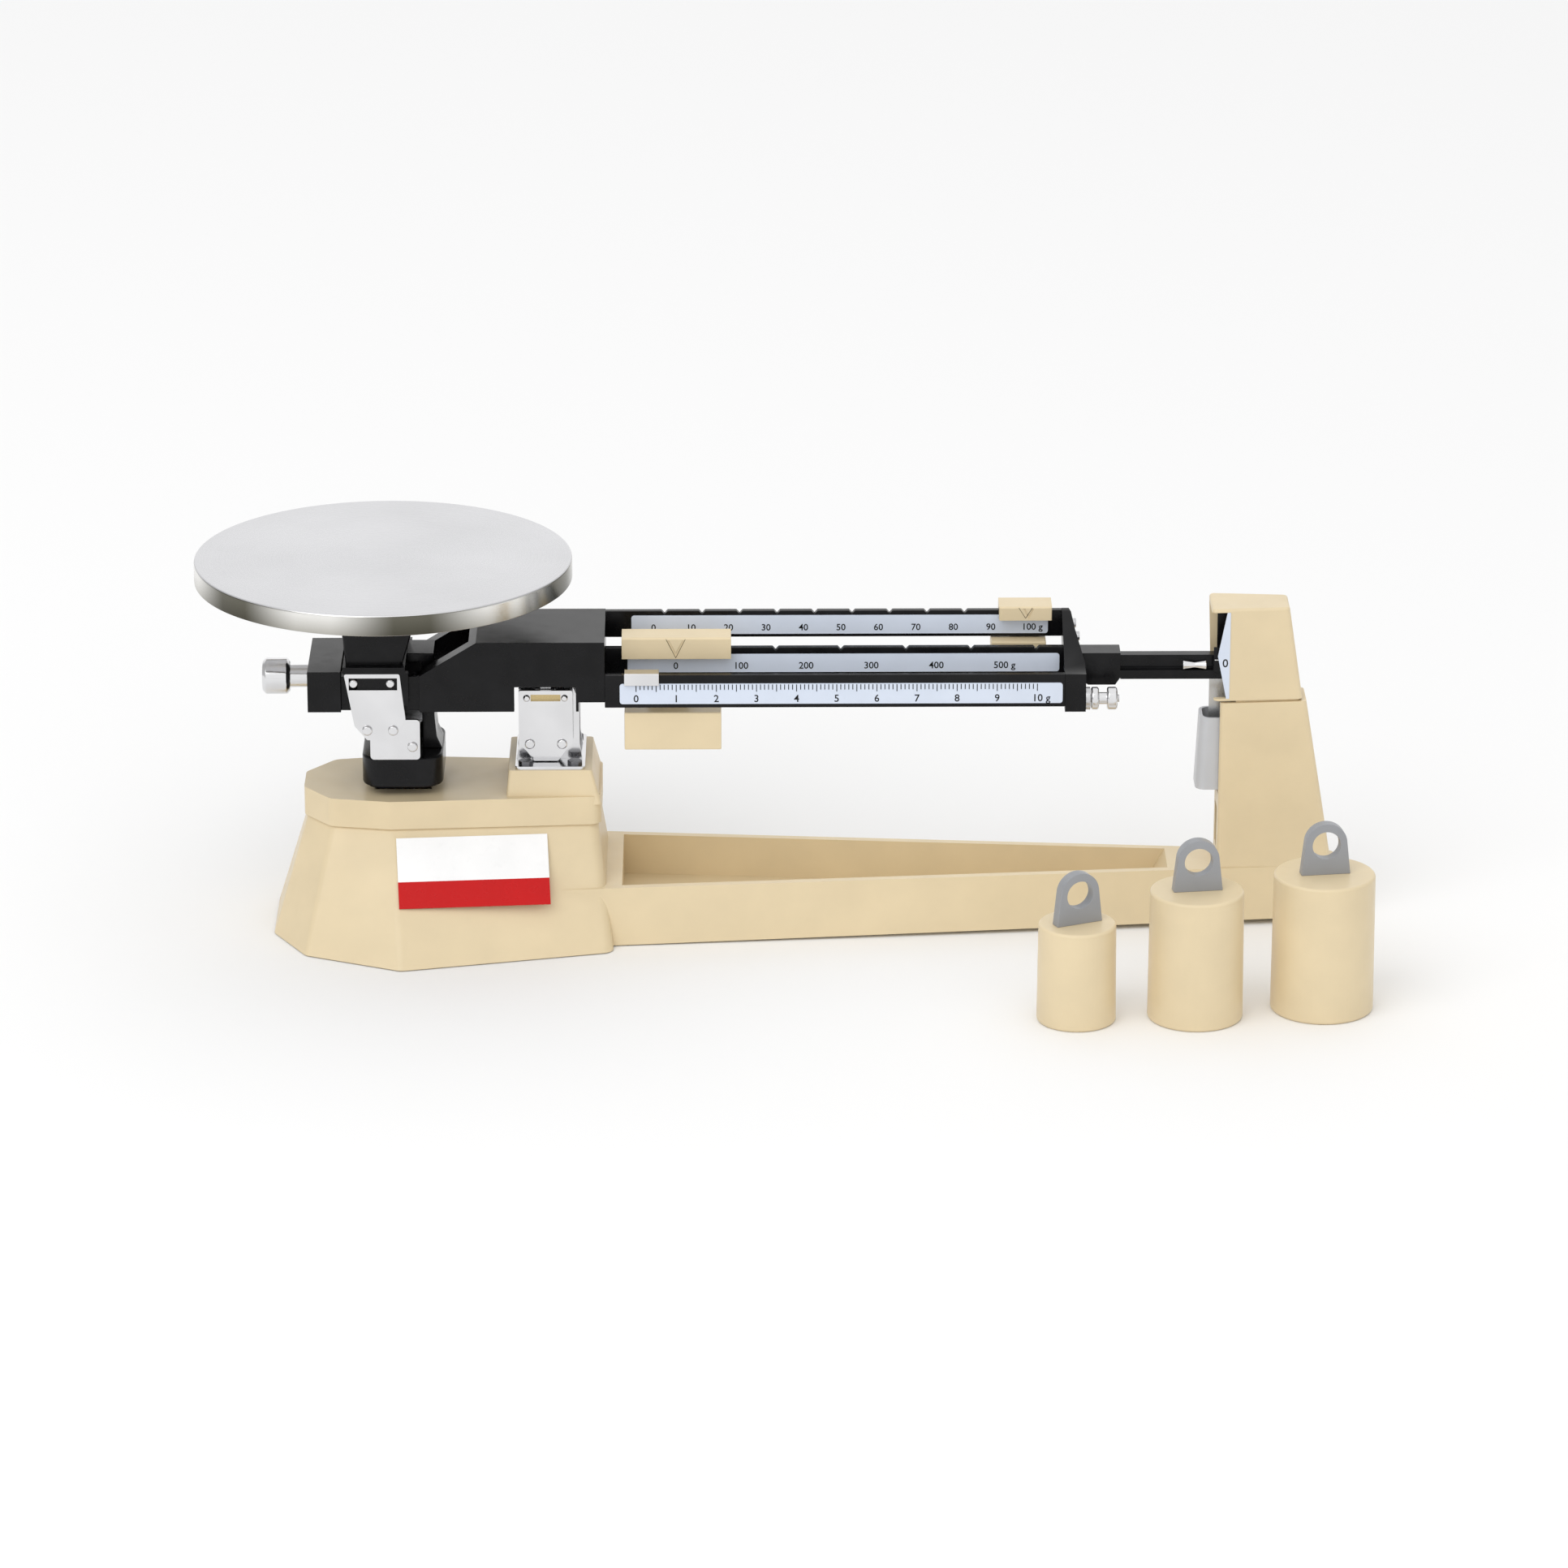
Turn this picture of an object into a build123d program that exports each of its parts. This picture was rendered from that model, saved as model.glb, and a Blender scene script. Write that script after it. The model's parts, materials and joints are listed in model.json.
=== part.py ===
from build123d import *
import math
import os

# A laboratory triple beam balance, in millimetres.
# x runs along the beam and is measured from the fulcrum edge while the pieces are made,
# y runs across it with the front at negative y, and z is the height above the table.
# At the end everything is shifted so that the origin is under the middle of the whole set.

# Gaps between pieces
fit_gap = 0.3
hinge_gap = 0.05
edge_gap = 0.15

# Beam levers and how far the beam swings
pan_arm = 65.0
pin_arm = 262.0
tilt_limit_deg = 3.0
fulcrum_z = 98.5
pan_knife_z = 101.0

# Pan
pan_radius = 76.0
pan_top_z = 154.0
pan_skirt = 8.5
pan_sheet = 1.5
socket_radius = 15.0
socket_height = 3.5
spigot_radius = 11.0

# Pedestal of the base: x and half width of its corners, low rim, neck and band
rim_z = 0.5
band_bottom_z = 47.5
pedestal_top_z = 59.3
step_top_z = 70.0
end_x = -111.0
end_half = 21.0
shoulder_x = -97.0
shoulder_half = 47.0
widest_x = -58.0
widest_half = 65.0
heel_x = 27.0
heel_half = 44.5
neck_end_x = -97.0
neck_end_half = 9.0
neck_shoulder_x = -86.5
neck_shoulder_half = 22.5
neck_widest_x = -62.0
neck_widest_half = 27.0
neck_heel_x = 21.0
neck_heel_half = 21.0
band_stand_out = 1.3
corner_round = 5.0
base_wall = 3.5
step_left_x = -15.0
step_right_x = 18.5
step_half = 22.3
step_flare = 1.5

# Long trough of the base
trough_top_z = 24.0
trough_floor_z = 7.0
trough_half_near = 33.8
trough_half_far = 8.6
trough_draft = 3.0
trough_wall = 3.4
trough_end_x = 321.0
trough_ramp_x = 254.0
trough_ramp_run = 11.0
underside_rise = 2.3

# Feet
pad_radius = 8.0
pad_x = -72.0
pad_y = 40.0
disc_x = 215.0
pad_thickness = 4.0
boss_radius = 9.0
foot_screw_radius = 2.0

# Label panel on the sloping front of the pedestal
label_width = 61.0
label_height = 30.0
label_thickness = 0.6
label_left_x = -60.5
label_drop = 3.5

# Tower at the pointer end
tower_left_x = 272.0
tower_right_x = 319.0
tower_half_left = 12.2
tower_half_right = 9.2
body_top_z = 94.5
body_left_x = 272.3
body_right_x = 307.3
body_half_left = 11.6
body_half_right = 8.9
hood_bottom_z = 95.5
hood_top_z = 134.3
hood_left_x = 269.6
hood_right_x = 305.6
hood_top_left_x = 268.3
hood_top_right_x = 299.7
hood_half_left = 11.6
hood_half_right = 8.9
shell_wall = 2.2
window_right_x = 275.8
window_low_z = 96.4
window_high_z = 132.9
index_tip_x = 270.9
index_edge_width = 1.3
index_thickness = 0.7
zero_line_z = 114.4
liner_sheet = 0.6
seam_depth = 1.2
lip_depth = 4.0
lip_start = 9.0
liner_length = 16.0

# Magnetic damper
cup_left_x = 263.0
cup_length = 20.0
cup_half = 8.6
cup_low_z = 56.5
cup_high_z = 87.0
cup_wall = 1.4
cup_draft = 1.5
magnet_thickness = 3.0
magnet_length = 12.0
magnet_height = 14.0
vane_thickness = 1.2
vane_length = 9.0
vane_low_z = 74.0

# Stand that carries the fulcrum
stand_sheet = 1.6
cheek_inner = 8.4
stand_left_x = -11.0
stand_right_x = 13.5
flange_left_x = -12.4
flange_right_x = 15.8
flange_half = 20.3
flange_sheet = 1.4
stand_top_z = 101.2
bearing_thickness = 2.4
thrust_thickness = 0.6
cover_sheet = 1.2
stand_cover_half = 10.9
stand_cover_low_z = 76.0
stand_tongue_low_z = 71.8
stand_cover_high_z = 101.7
stand_window_half = 6.0
stand_window_low_z = 97.2
stand_window_high_z = 100.0
stand_screw_offset = 7.6
stand_low_screw_offset = 6.5
stand_screw_high_z = 98.6
stand_screw_low_z = 79.1
small_screw_radius = 1.4
large_screw_radius = 2.1
screw_head = 1.1
shank_share = 0.6

# Beam casting
beam_half = 22.0
beam_left_x = -95.4
block_right_x = -82.0
block_top_z = 112.4
arm_low_z = 95.4
arm_top_z = 109.6
arm_inner = 14.0
arm_outer = 19.4
arm_full_x = -50.5
wing_x = -52.0
box_left_x = -27.5
box_right_x = 24.0
box_top_z = 124.6
box_step_z = 99.3
box_step_x = 13.5
box_wall = 3.2
arch_half = 12.4
arch_top_z = 105.8
knife_block_half = 4.5
knife_block_width = 7.4
knife_width = 4.4
knife_height = 4.6
knife_end_gap = 0.3

# Three notched rails: y of the front face, bottom, top
rail_thickness = 3.0
rail_left_x = 24.0
rail_right_x = 209.0
front_rail_y = -22.0
front_rail_low_z = 97.0
front_rail_top_z = 110.7
centre_rail_y = -3.5
centre_rail_low_z = 103.0
centre_rail_top_z = 116.2
rear_rail_y = 16.5
rear_rail_low_z = 114.1
rear_rail_top_z = 125.2
notch_depth = 1.4
notch_half = 1.3

# Scales: where zero is, the length of one division and how many there are
front_zero_x = 36.6
front_division = 16.12
front_divisions = 10
centre_zero_x = 52.5
centre_division = 26.3
centre_divisions = 5
rear_zero_x = 43.4
rear_division = 15.21
rear_divisions = 10
centre_notch_lead = 14.0
rear_notch_lead = 4.5
plate_thickness = 0.5
front_plate_left_x = 30.0
front_plate_right_x = 208.0
front_plate_low_z = 98.7
front_plate_high_z = 107.3
centre_plate_left_x = 33.0
centre_plate_right_x = 207.4
centre_plate_low_z = 105.9
centre_plate_high_z = 113.6
rear_plate_left_x = 34.4
rear_plate_right_x = 203.5
rear_plate_low_z = 115.5
rear_plate_high_z = 123.4

# Frame at the right end of the rails, socket and pointer arm
end_frame_rear_x = 212.0
end_frame_length = 8.4
end_frame_low_z = 94.8
socket_left_x = 214.0
socket_right_x = 232.0
socket_half = 5.5
socket_low_z = 100.6
socket_top_z = 114.1
arm_upper_half = 2.5
arm_ledge_half = 5.5
arm_bar_low_z = 103.0
arm_ledge_z = 106.7
arm_bar_top_z = 112.3
arm_end_x = 273.5
pointer_y = -8.6
pointer_thickness = 0.8
pointer_left_x = 269.4
pointer_right_x = 273.4
pointer_half_height = 3.0
pin_radius = 1.9
pin_length = 9.4

# Calibration nut on its stud
stud_radius = 1.5
stud_length = 13.5
nut_y = -19.0
nut_z = 99.5
nut_flange_radius = 4.6
nut_neck_radius = 2.4
nut_length = 10.6
nut_flange = 3.2
lock_ring_length = 1.8

# Zero adjusting knob, its screw and the weight that it moves
knob_radius = 7.3
knob_length = 11.2
knob_z = 103.6
shaft_radius = 4.6
shaft_length = 7.6
lead_screw_radius = 2.0
lead_screw_pitch = 1.0
lead_screw_end_x = -68.0
weight_length = 6.0
weight_low_z = 98.0
weight_high_z = 109.0
weight_travel = 2.5

# Pan hanger
cover_top_left_x = -80.6
cover_top_right_x = -58.2
cover_low_left_x = -76.6
cover_low_right_x = -56.0
cover_high_z = 112.3
cover_low_z = 84.3
cover_inner = 23.0
hanger_bearing_inner = 20.0
hanger_bearing_low_z = 98.6
slot_inset = 2.0
slot_screw_inset = 3.8
cover_screw_inset = 5.1
cover_screw_rise = 4.2
slot_low_z = 105.5
slot_high_z = 110.5
slot_screw_radius = 1.8
bracket_left_x = -70.5
bracket_right_x = -50.4
bracket_top_z = 92.5
bracket_sheet = 1.6
foot_left_x = -74.2
foot_right_x = -41.6
foot_half = 22.0
foot_low_z = 63.0
foot_high_z = 75.5
foot_corner = 9.0
foot_wall = 3.0
post_left_x = -50.0
post_right_x = -45.0
post_half = 9.0
saddle_left_x = -81.0
saddle_right_x = -56.0
saddle_lip_half = 24.4
saddle_lip = 2.8
saddle_waist_half = 20.0
saddle_top_left_x = -84.0
saddle_top_right_x = -46.0
saddle_top_half = 18.0

# Check link below, which keeps the hanger upright
stem_x = -58.0
stem_half_x = 4.0
stem_half_y = 5.0
stem_pivot_z = 42.0
link_pin_radius = 2.0
link_plate = 2.0
link_height = 7.0
link_side_gap = 0.5
open_pivot_gap = 0.35
stem_hole_gap = 7.5

# Sliding poises
front_poise_left_x = 31.8
front_poise_length = 14.0
front_poise_sheet = 0.9
front_poise_drop = 4.2
centre_cap_left_x = 30.7
centre_cap_length = 44.1
centre_cap_front_y = -8.5
centre_cap_rear_y = 4.0
centre_cap_low_z = 113.0
centre_cap_high_z = 122.0
centre_block_left_x = 31.8
centre_block_length = 39.0
centre_block_front_y = -20.0
centre_block_rear_y = 16.0
centre_block_low_z = 78.4
centre_block_high_z = 94.2
strap_thickness = 2.0
centre_strap_left_x = 41.3
centre_strap_length = 16.5
rear_cap_left_x = 183.5
rear_cap_length = 21.4
rear_cap_front_y = 12.0
rear_cap_rear_y = 25.0
rear_cap_low_z = 122.2
rear_cap_high_z = 128.0
rear_block_left_x = 180.4
rear_block_length = 22.2
rear_block_front_y = 10.5
rear_block_rear_y = 26.5
rear_block_low_z = 103.5
rear_block_high_z = 113.6
rear_strap_length = 12.0
poise_notch_depth = 0.35

# Loose attachment weights: x, y, radius, height, turn of the loop
small_weight = (210.3, -118.0, 15.3, 40.5, 24.0)
middle_weight = (257.3, -115.0, 18.5, 53.0, 8.0)
large_weight = (308.0, -106.0, 20.0, 56.5, 8.0)
weight_draft = 0.35
weight_edge = 1.2
loop_base = 19.6
loop_height = 21.0
loop_radius = 8.3
loop_hole_radius = 5.6
loop_thickness = 4.6
lift_height = 60.0


def block(x0, x1, y0, y1, z0, z1):
    """Box between two corners."""
    middle = Pos((x0 + x1) / 2, (y0 + y1) / 2, (z0 + z1) / 2)
    return middle * Box(abs(x1 - x0), abs(y1 - y0), abs(z1 - z0))


def side_prism(points, y0, y1, radius=0.0):
    """Prism of an outline drawn in x and z, between two values of y."""
    outline = [(x, y0, z) for x, z in points]
    if radius > 0:
        wire = FilletPolyline(*outline, radius=radius, close=True)
    else:
        wire = Polyline(*outline, close=True)
    return extrude(make_face(wire), amount=y1 - y0, dir=(0, 1, 0))


def plan_prism(points, z0, z1, radius=0.0):
    """Prism of an outline drawn in x and y, between two heights."""
    outline = [(x, y, z0) for x, y in points]
    if radius > 0:
        wire = FilletPolyline(*outline, radius=radius, close=True)
    else:
        wire = Polyline(*outline, close=True)
    return extrude(make_face(wire), amount=z1 - z0, dir=(0, 0, 1))


def both_sides(points):
    """Front half of a plan outline, as x and half width, with its mirrored rear half."""
    front = [(x, -half) for x, half in points]
    rear = [(x, half) for x, half in reversed(points)]
    return front + rear


def plan_loft(low_points, low_z, high_points, high_z, radius):
    """Ruled solid between two plan outlines with the same number of corners."""
    low = make_face(FilletPolyline(*both_sides(low_points), radius=radius, close=True))
    high = make_face(FilletPolyline(*both_sides(high_points), radius=radius, close=True))
    return loft([Pos(0, 0, low_z) * low, Pos(0, 0, high_z) * high], ruled=True)


def rod_x(x0, x1, y, z, radius):
    """Round bar along x."""
    return Pos((x0 + x1) / 2, y, z) * Rot(0, 90, 0) * Cylinder(radius, x1 - x0)


def rod_y(y0, y1, x, z, radius):
    """Round bar along y."""
    return Pos(x, (y0 + y1) / 2, z) * Rot(90, 0, 0) * Cylinder(radius, abs(y1 - y0))


def rod_z(z0, z1, x, y, radius):
    """Round bar along z."""
    return Pos(x, y, (z0 + z1) / 2) * Cylinder(radius, z1 - z0)


def inset(points, wall):
    """The same plan corners moved inwards by the wall."""
    low_x = min(x for x, half in points)
    high_x = max(x for x, half in points)
    moved = []
    for x, half in points:
        if x == low_x:
            moved.append((x + wall, half))
        elif x == high_x:
            moved.append((x - wall, half - wall))
        else:
            moved.append((x + wall * 0.4, half - wall))
    return moved


rim_corners = [(end_x, end_half), (shoulder_x, shoulder_half), (widest_x, widest_half), (heel_x, heel_half)]
neck_corners = [
    (neck_end_x, neck_end_half),
    (neck_shoulder_x, neck_shoulder_half),
    (neck_widest_x, neck_widest_half),
    (neck_heel_x, neck_heel_half),
]
roof_low_z = pedestal_top_z - base_wall
end_frame_front_x = rail_right_x + end_frame_length
stem_pivot = (stem_x, stem_pivot_z)
base_pivot = (stem_x + pan_arm, stem_pivot_z - (pan_knife_z - fulcrum_z))


def trough_half(x):
    """Half width of the trough's rim, which narrows evenly towards the tower."""
    share = (x - heel_x) / (trough_end_x - heel_x)
    return trough_half_near + share * (trough_half_far - trough_half_near)


def grown(points, distance):
    """The same plan corners moved outwards by a distance."""
    return inset(points, -distance)


def base_outside():
    """Pedestal with its raised band and step, and the long tapering trough."""
    body = plan_loft(rim_corners, rim_z, neck_corners, band_bottom_z, corner_round)
    band = plan_prism(both_sides(grown(neck_corners, band_stand_out)), band_bottom_z, pedestal_top_z, corner_round)
    neck = plan_prism(both_sides(neck_corners), band_bottom_z - base_wall, band_bottom_z, corner_round)
    step_low = [(step_left_x - step_flare, step_half), (neck_heel_x + band_stand_out, step_half)]
    step_high = [(step_left_x, step_half - step_flare), (step_right_x, step_half - step_flare)]
    step = plan_loft(step_low, pedestal_top_z - base_wall, step_high, step_top_z, step_flare)
    near_x = widest_x
    far = trough_half(trough_end_x)
    rim = [(near_x, trough_half(near_x)), (trough_end_x, far)]
    foot = [(near_x, trough_half(near_x) + trough_draft), (trough_end_x + trough_draft, far + trough_draft)]
    trough = plan_loft(foot, rim_z, rim, trough_top_z, trough_draft)
    return body + neck + band + step + trough


def trough_recess():
    """Open tray of the trough, with a ramp up to the tower's seat."""
    left = heel_x + base_wall
    low_half_left = trough_half(left) - trough_wall
    floor_right = trough_ramp_x - trough_ramp_run
    low = [(left, low_half_left), (floor_right, trough_half(floor_right) - trough_wall)]
    high = [(left, low_half_left), (trough_ramp_x, trough_half(trough_ramp_x) - trough_wall)]
    return plan_loft(low, trough_floor_z, high, trough_top_z + base_wall, 0.0)


def base_underside():
    """Hollow that a sand casting has under the pedestal, the tray and the tower's seat."""
    low = inset(rim_corners, base_wall)
    high = inset(neck_corners, base_wall)
    start_z = rim_z - base_wall
    hollow = plan_loft(low, rim_z, high, band_bottom_z, corner_round / 2)
    hollow += plan_prism(both_sides(low), start_z, rim_z, corner_round / 2)
    hollow += plan_prism(both_sides(high), band_bottom_z, roof_low_z, corner_round / 2)
    under_left = heel_x - base_wall
    under_right = tower_left_x
    tray_roof = trough_floor_z - base_wall
    tray = [(under_left, trough_half(under_left) - trough_wall), (under_right, trough_half(under_right) - trough_wall)]
    hollow += plan_prism(both_sides(tray), start_z, tray_roof)
    seat_left = trough_ramp_x + base_wall
    seat_right = trough_end_x - base_wall
    seat = [(seat_left, trough_half(seat_left) - trough_wall), (seat_right, trough_half(seat_right) - trough_wall)]
    hollow += plan_prism(both_sides(seat), start_z, trough_top_z - base_wall)
    return hollow


def underside_wedge():
    """The low edge of the trough rises a little towards the tower."""
    right = trough_end_x + 2 * trough_draft
    half = trough_half_near + 2 * trough_draft
    rise = [(heel_x, rim_z - base_wall), (right, rim_z - base_wall), (right, rim_z + underside_rise), (heel_x, rim_z)]
    return side_prism(rise, -half, half)


def disc_top_z():
    """Height of the seat that the single foot under the trough is screwed to."""
    return trough_floor_z - base_wall


def base_bosses(outside):
    """Foot bosses, link bracket hung from the roof and the tower's screw bosses."""
    feet = [rod_z(pad_thickness, roof_low_z, pad_x, side * pad_y, boss_radius) for side in (-1, 1)]
    bosses = Compound(feet) & outside
    half = stem_half_x
    x = base_pivot[0]
    bracket = block(x - half, x + half, -stem_half_y, stem_half_y, base_pivot[1] - half, roof_low_z)
    return bosses, bracket


def tower_screw_places():
    """Places of the two screws that come up through the base into the tower."""
    run = tower_right_x - tower_left_x
    return [tower_left_x + run * 0.3, tower_left_x + run * 0.78]


def make_base():
    """Main casting."""
    outside = base_outside()
    shell = outside - base_underside()
    bosses, bracket = base_bosses(outside)
    shell = shell + bosses + bracket
    shell -= trough_recess()
    shell -= underside_wedge()
    gap = stem_hole_gap
    hole = block(
        stem_x - stem_half_x - gap, stem_x + stem_half_x + gap, -stem_half_y - gap, stem_half_y + gap,
        roof_low_z - base_wall, pedestal_top_z + base_wall,
    )
    shell -= hole
    shell -= rod_y(-stem_half_y - 1, stem_half_y + 1, base_pivot[0], base_pivot[1], link_pin_radius)
    for side in (-1, 1):
        shell -= rod_z(pad_thickness - 1, pad_thickness + 8, pad_x, side * pad_y, foot_screw_radius)
    shell -= rod_z(disc_top_z() - 1, trough_floor_z - 1, disc_x, 0, foot_screw_radius)
    for x in tower_screw_places():
        shell -= rod_z(0, trough_top_z + 1, x, 0, foot_screw_radius)
    return shell


def make_feet():
    """Two rubber pads under the pedestal and a wide rubber disc under the trough."""
    feet = []
    disc_radius = trough_half(disc_x) - trough_wall - fit_gap
    for side in (-1, 1):
        feet.append(rod_z(0, pad_thickness, pad_x, side * pad_y, pad_radius))
    feet.append(rod_z(0, disc_top_z(), disc_x, 0, disc_radius))
    recess = screw_head
    for index, (x, y) in enumerate([(pad_x, -pad_y), (pad_x, pad_y), (disc_x, 0)]):
        feet[index] -= rod_z(-1, recess, x, y, 2 * foot_screw_radius + fit_gap)
        feet[index] -= rod_z(-1, pad_thickness + 1, x, y, foot_screw_radius)
    return feet


def make_base_screws():
    """Screws of the feet, with their heads sunk in the rubber, and of the tower."""
    screws = []
    for x, y in [(pad_x, -pad_y), (pad_x, pad_y)]:
        head = rod_z(screw_head - 0.8, screw_head, x, y, 2 * foot_screw_radius)
        screws.append(head + rod_z(screw_head, pad_thickness + 7, x, y, foot_screw_radius))
    head = rod_z(screw_head - 0.8, screw_head, disc_x, 0, 2 * foot_screw_radius)
    screws.append(head + rod_z(screw_head, trough_floor_z - 1.2, disc_x, 0, foot_screw_radius))
    head_top = trough_top_z - base_wall
    for x in tower_screw_places():
        head = rod_z(head_top - 1.6, head_top, x, 0, 1.9 * foot_screw_radius)
        screws.append(head + rod_z(head_top, trough_top_z + 7.5, x, 0, foot_screw_radius))
    return screws


def pedestal_front_point(x, z):
    """Point of the pedestal's sloping front at a given x and height."""
    share = (z - rim_z) / (band_bottom_z - rim_z)
    left_x = widest_x + share * (neck_widest_x - widest_x)
    left_y = widest_half + share * (neck_widest_half - widest_half)
    right_x = heel_x + share * (neck_heel_x - heel_x)
    right_y = heel_half + share * (neck_heel_half - heel_half)
    along = (x - left_x) / (right_x - left_x)
    return Vector(x, -(left_y + along * (right_y - left_y)), z)


def make_label():
    """Thin blank panel that lies on the sloping front."""
    top_z = band_bottom_z - label_drop
    low_z = top_z - label_height * 0.75
    corner = pedestal_front_point(label_left_x, top_z)
    across = pedestal_front_point(label_left_x + label_width, top_z) - corner
    down = pedestal_front_point(label_left_x, low_z) - corner
    normal = across.cross(down).normalized()
    if normal.Y > 0:
        normal = normal * -1
    plane = Plane(origin=corner, x_dir=across.normalized(), z_dir=normal)
    sheet = Pos(label_width / 2, -label_height / 2, 0) * Rectangle(label_width, label_height)
    stand_off = 0.15
    return extrude(plane.offset(stand_off) * sheet, amount=label_thickness)


def tower_lofts(grow, low_z, high_z, low, high):
    """Tapered block between two plan trapezoids, grown by a distance."""
    low_face = [(low[0] - grow, low[2] + grow), (low[1] + grow, low[3] + grow)]
    high_face = [(high[0] - grow, high[2] + grow), (high[1] + grow, high[3] + grow)]
    return plan_loft(low_face, low_z, high_face, high_z, 2.0)


def make_tower_body():
    """Lower shell of the tower, open on the side that faces the beam and at the top."""
    low = (tower_left_x, tower_right_x, tower_half_left, tower_half_right)
    high = (body_left_x, body_right_x, body_half_left, body_half_right)
    outer = tower_lofts(0, trough_top_z, body_top_z, low, high)
    inner = tower_lofts(-shell_wall, trough_top_z + shell_wall, body_top_z + shell_wall, low, high)
    shell = outer - inner
    doorway = block(
        tower_left_x - 2 * shell_wall, tower_left_x + 2 * shell_wall,
        -cup_half - fit_gap, cup_half + fit_gap, cup_low_z - shell_wall, body_top_z + shell_wall,
    )
    foot_gap = block(
        tower_left_x - 2 * shell_wall, tower_left_x + 2 * shell_wall,
        -cup_half * 0.6, cup_half * 0.6, trough_top_z + 3 * shell_wall, cup_low_z - 4 * shell_wall,
    )
    shell = shell - doorway - foot_gap
    for x in tower_screw_places():
        shell += rod_z(trough_top_z, trough_top_z + 9, x, 0, 2 * foot_screw_radius)
        shell -= rod_z(trough_top_z - 1, trough_top_z + 8, x, 0, foot_screw_radius)
    return shell


def hood_inside(wall, low_z, high_z):
    """Space inside the hood, a wall away from its outside and open to the beam."""
    left = 3 * shell_wall
    low = (hood_left_x - left, hood_right_x, hood_half_left, hood_half_right)
    high = (hood_top_left_x - left, hood_top_right_x, hood_half_left, hood_half_right)
    return tower_lofts(-wall, low_z, high_z, low, high)


def make_hood():
    """Cap of the tower, open to the beam, with the window for the pointer."""
    low = (hood_left_x, hood_right_x, hood_half_left, hood_half_right)
    high = (hood_top_left_x, hood_top_right_x, hood_half_left, hood_half_right)
    outer = tower_lofts(0, hood_bottom_z, hood_top_z, low, high)
    edges = [edge for edge in outer.edges() if edge.center().Z > hood_top_z - 0.1]
    outer = fillet(edges, 1.2)
    inner = hood_inside(shell_wall, hood_bottom_z - shell_wall, hood_top_z - shell_wall)
    window = block(
        hood_top_left_x - 1, window_right_x, -hood_half_left - 1, -hood_half_left + shell_wall + 1,
        window_low_z, window_high_z,
    )
    hood = outer - inner - window
    hood += hood_ring(seam_depth, body_top_z, hood_bottom_z + seam_depth)
    hood += hood_ring(shell_wall + fit_gap, body_top_z - lip_depth, body_top_z)
    return hood


def hood_ring(outside_inset, low_z, high_z):
    """Part of the hood's foot: the seat on the body, or the lip that drops into it."""
    sizes = (hood_left_x, hood_right_x, hood_half_left, hood_half_right)
    ring = tower_lofts(-outside_inset, low_z, high_z, sizes, sizes)
    ring -= tower_lofts(-2 * shell_wall, low_z - 1, high_z + 1, sizes, sizes)
    keep = block(hood_left_x + lip_start, hood_right_x, -hood_half_left, hood_half_left, low_z, high_z)
    return ring & keep


def make_index_plate():
    """White plate in the window whose point marks zero."""
    outline = [
        (window_right_x, window_low_z),
        (window_right_x, window_high_z),
        (window_right_x - index_edge_width, window_high_z),
        (index_tip_x, zero_line_z),
        (window_right_x - index_edge_width, window_low_z),
    ]
    y = -hood_half_left
    return side_prism(outline, y + fit_gap, y + fit_gap + index_thickness)


def make_liner():
    """Dark sheet against the rear wall of the hood, seen through the window."""
    left = hood_left_x + shell_wall
    near = hood_inside(shell_wall + fit_gap, hood_bottom_z, hood_top_z)
    far = hood_inside(shell_wall + fit_gap + liner_sheet, hood_bottom_z - 1, hood_top_z + 1)
    reach = block(left, left + liner_length, 0, hood_half_left,
                  hood_bottom_z + seam_depth + fit_gap, hood_top_z - shell_wall - fit_gap)
    return (near - far) & reach


def make_damper_cup():
    """Tapered cup of the magnetic damper, open at the top."""
    right = cup_left_x + cup_length
    low = [(cup_left_x, cup_half), (right, cup_half)]
    high = [(cup_left_x + cup_draft, cup_half - cup_draft / 2), (right - cup_draft, cup_half - cup_draft / 2)]
    low_in = [(x, half - cup_wall) for x, half in [(cup_left_x + cup_wall, cup_half), (right - cup_wall, cup_half)]]
    high_in = [
        (cup_left_x + cup_draft + cup_wall, cup_half - cup_draft / 2 - cup_wall),
        (right - cup_draft - cup_wall, cup_half - cup_draft / 2 - cup_wall),
    ]
    cup = plan_loft(low, cup_low_z, high, cup_high_z, 4.0)
    return cup - plan_loft(low_in, cup_low_z + cup_wall, high_in, cup_high_z + cup_wall, 3.0)


def make_magnets():
    """Two flat magnets, one on each side of the vane."""
    x = cup_left_x + cup_draft + cup_wall + fit_gap
    z = cup_low_z + cup_wall
    inner = cup_half - cup_draft / 2 - cup_wall - magnet_thickness
    magnets = []
    for side in (-1, 1):
        y0, y1 = sorted([side * inner, side * (inner + magnet_thickness)])
        magnets.append(block(x + 1, x + 1 + magnet_length, y0, y1, z, z + magnet_height))
    return magnets


def make_cup_bracket():
    """Ledge inside the tower that the damper cup stands on."""
    right = body_right_x - 3.2 * shell_wall
    left = tower_left_x + 2.2 * shell_wall
    half = tower_half_right - shell_wall - fit_gap
    shelf = block(left, right, -half, half, cup_low_z - 2, cup_low_z)
    post = block(right - 3, right, -half, half, trough_top_z + shell_wall, cup_low_z - 2)
    return shelf + post


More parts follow.
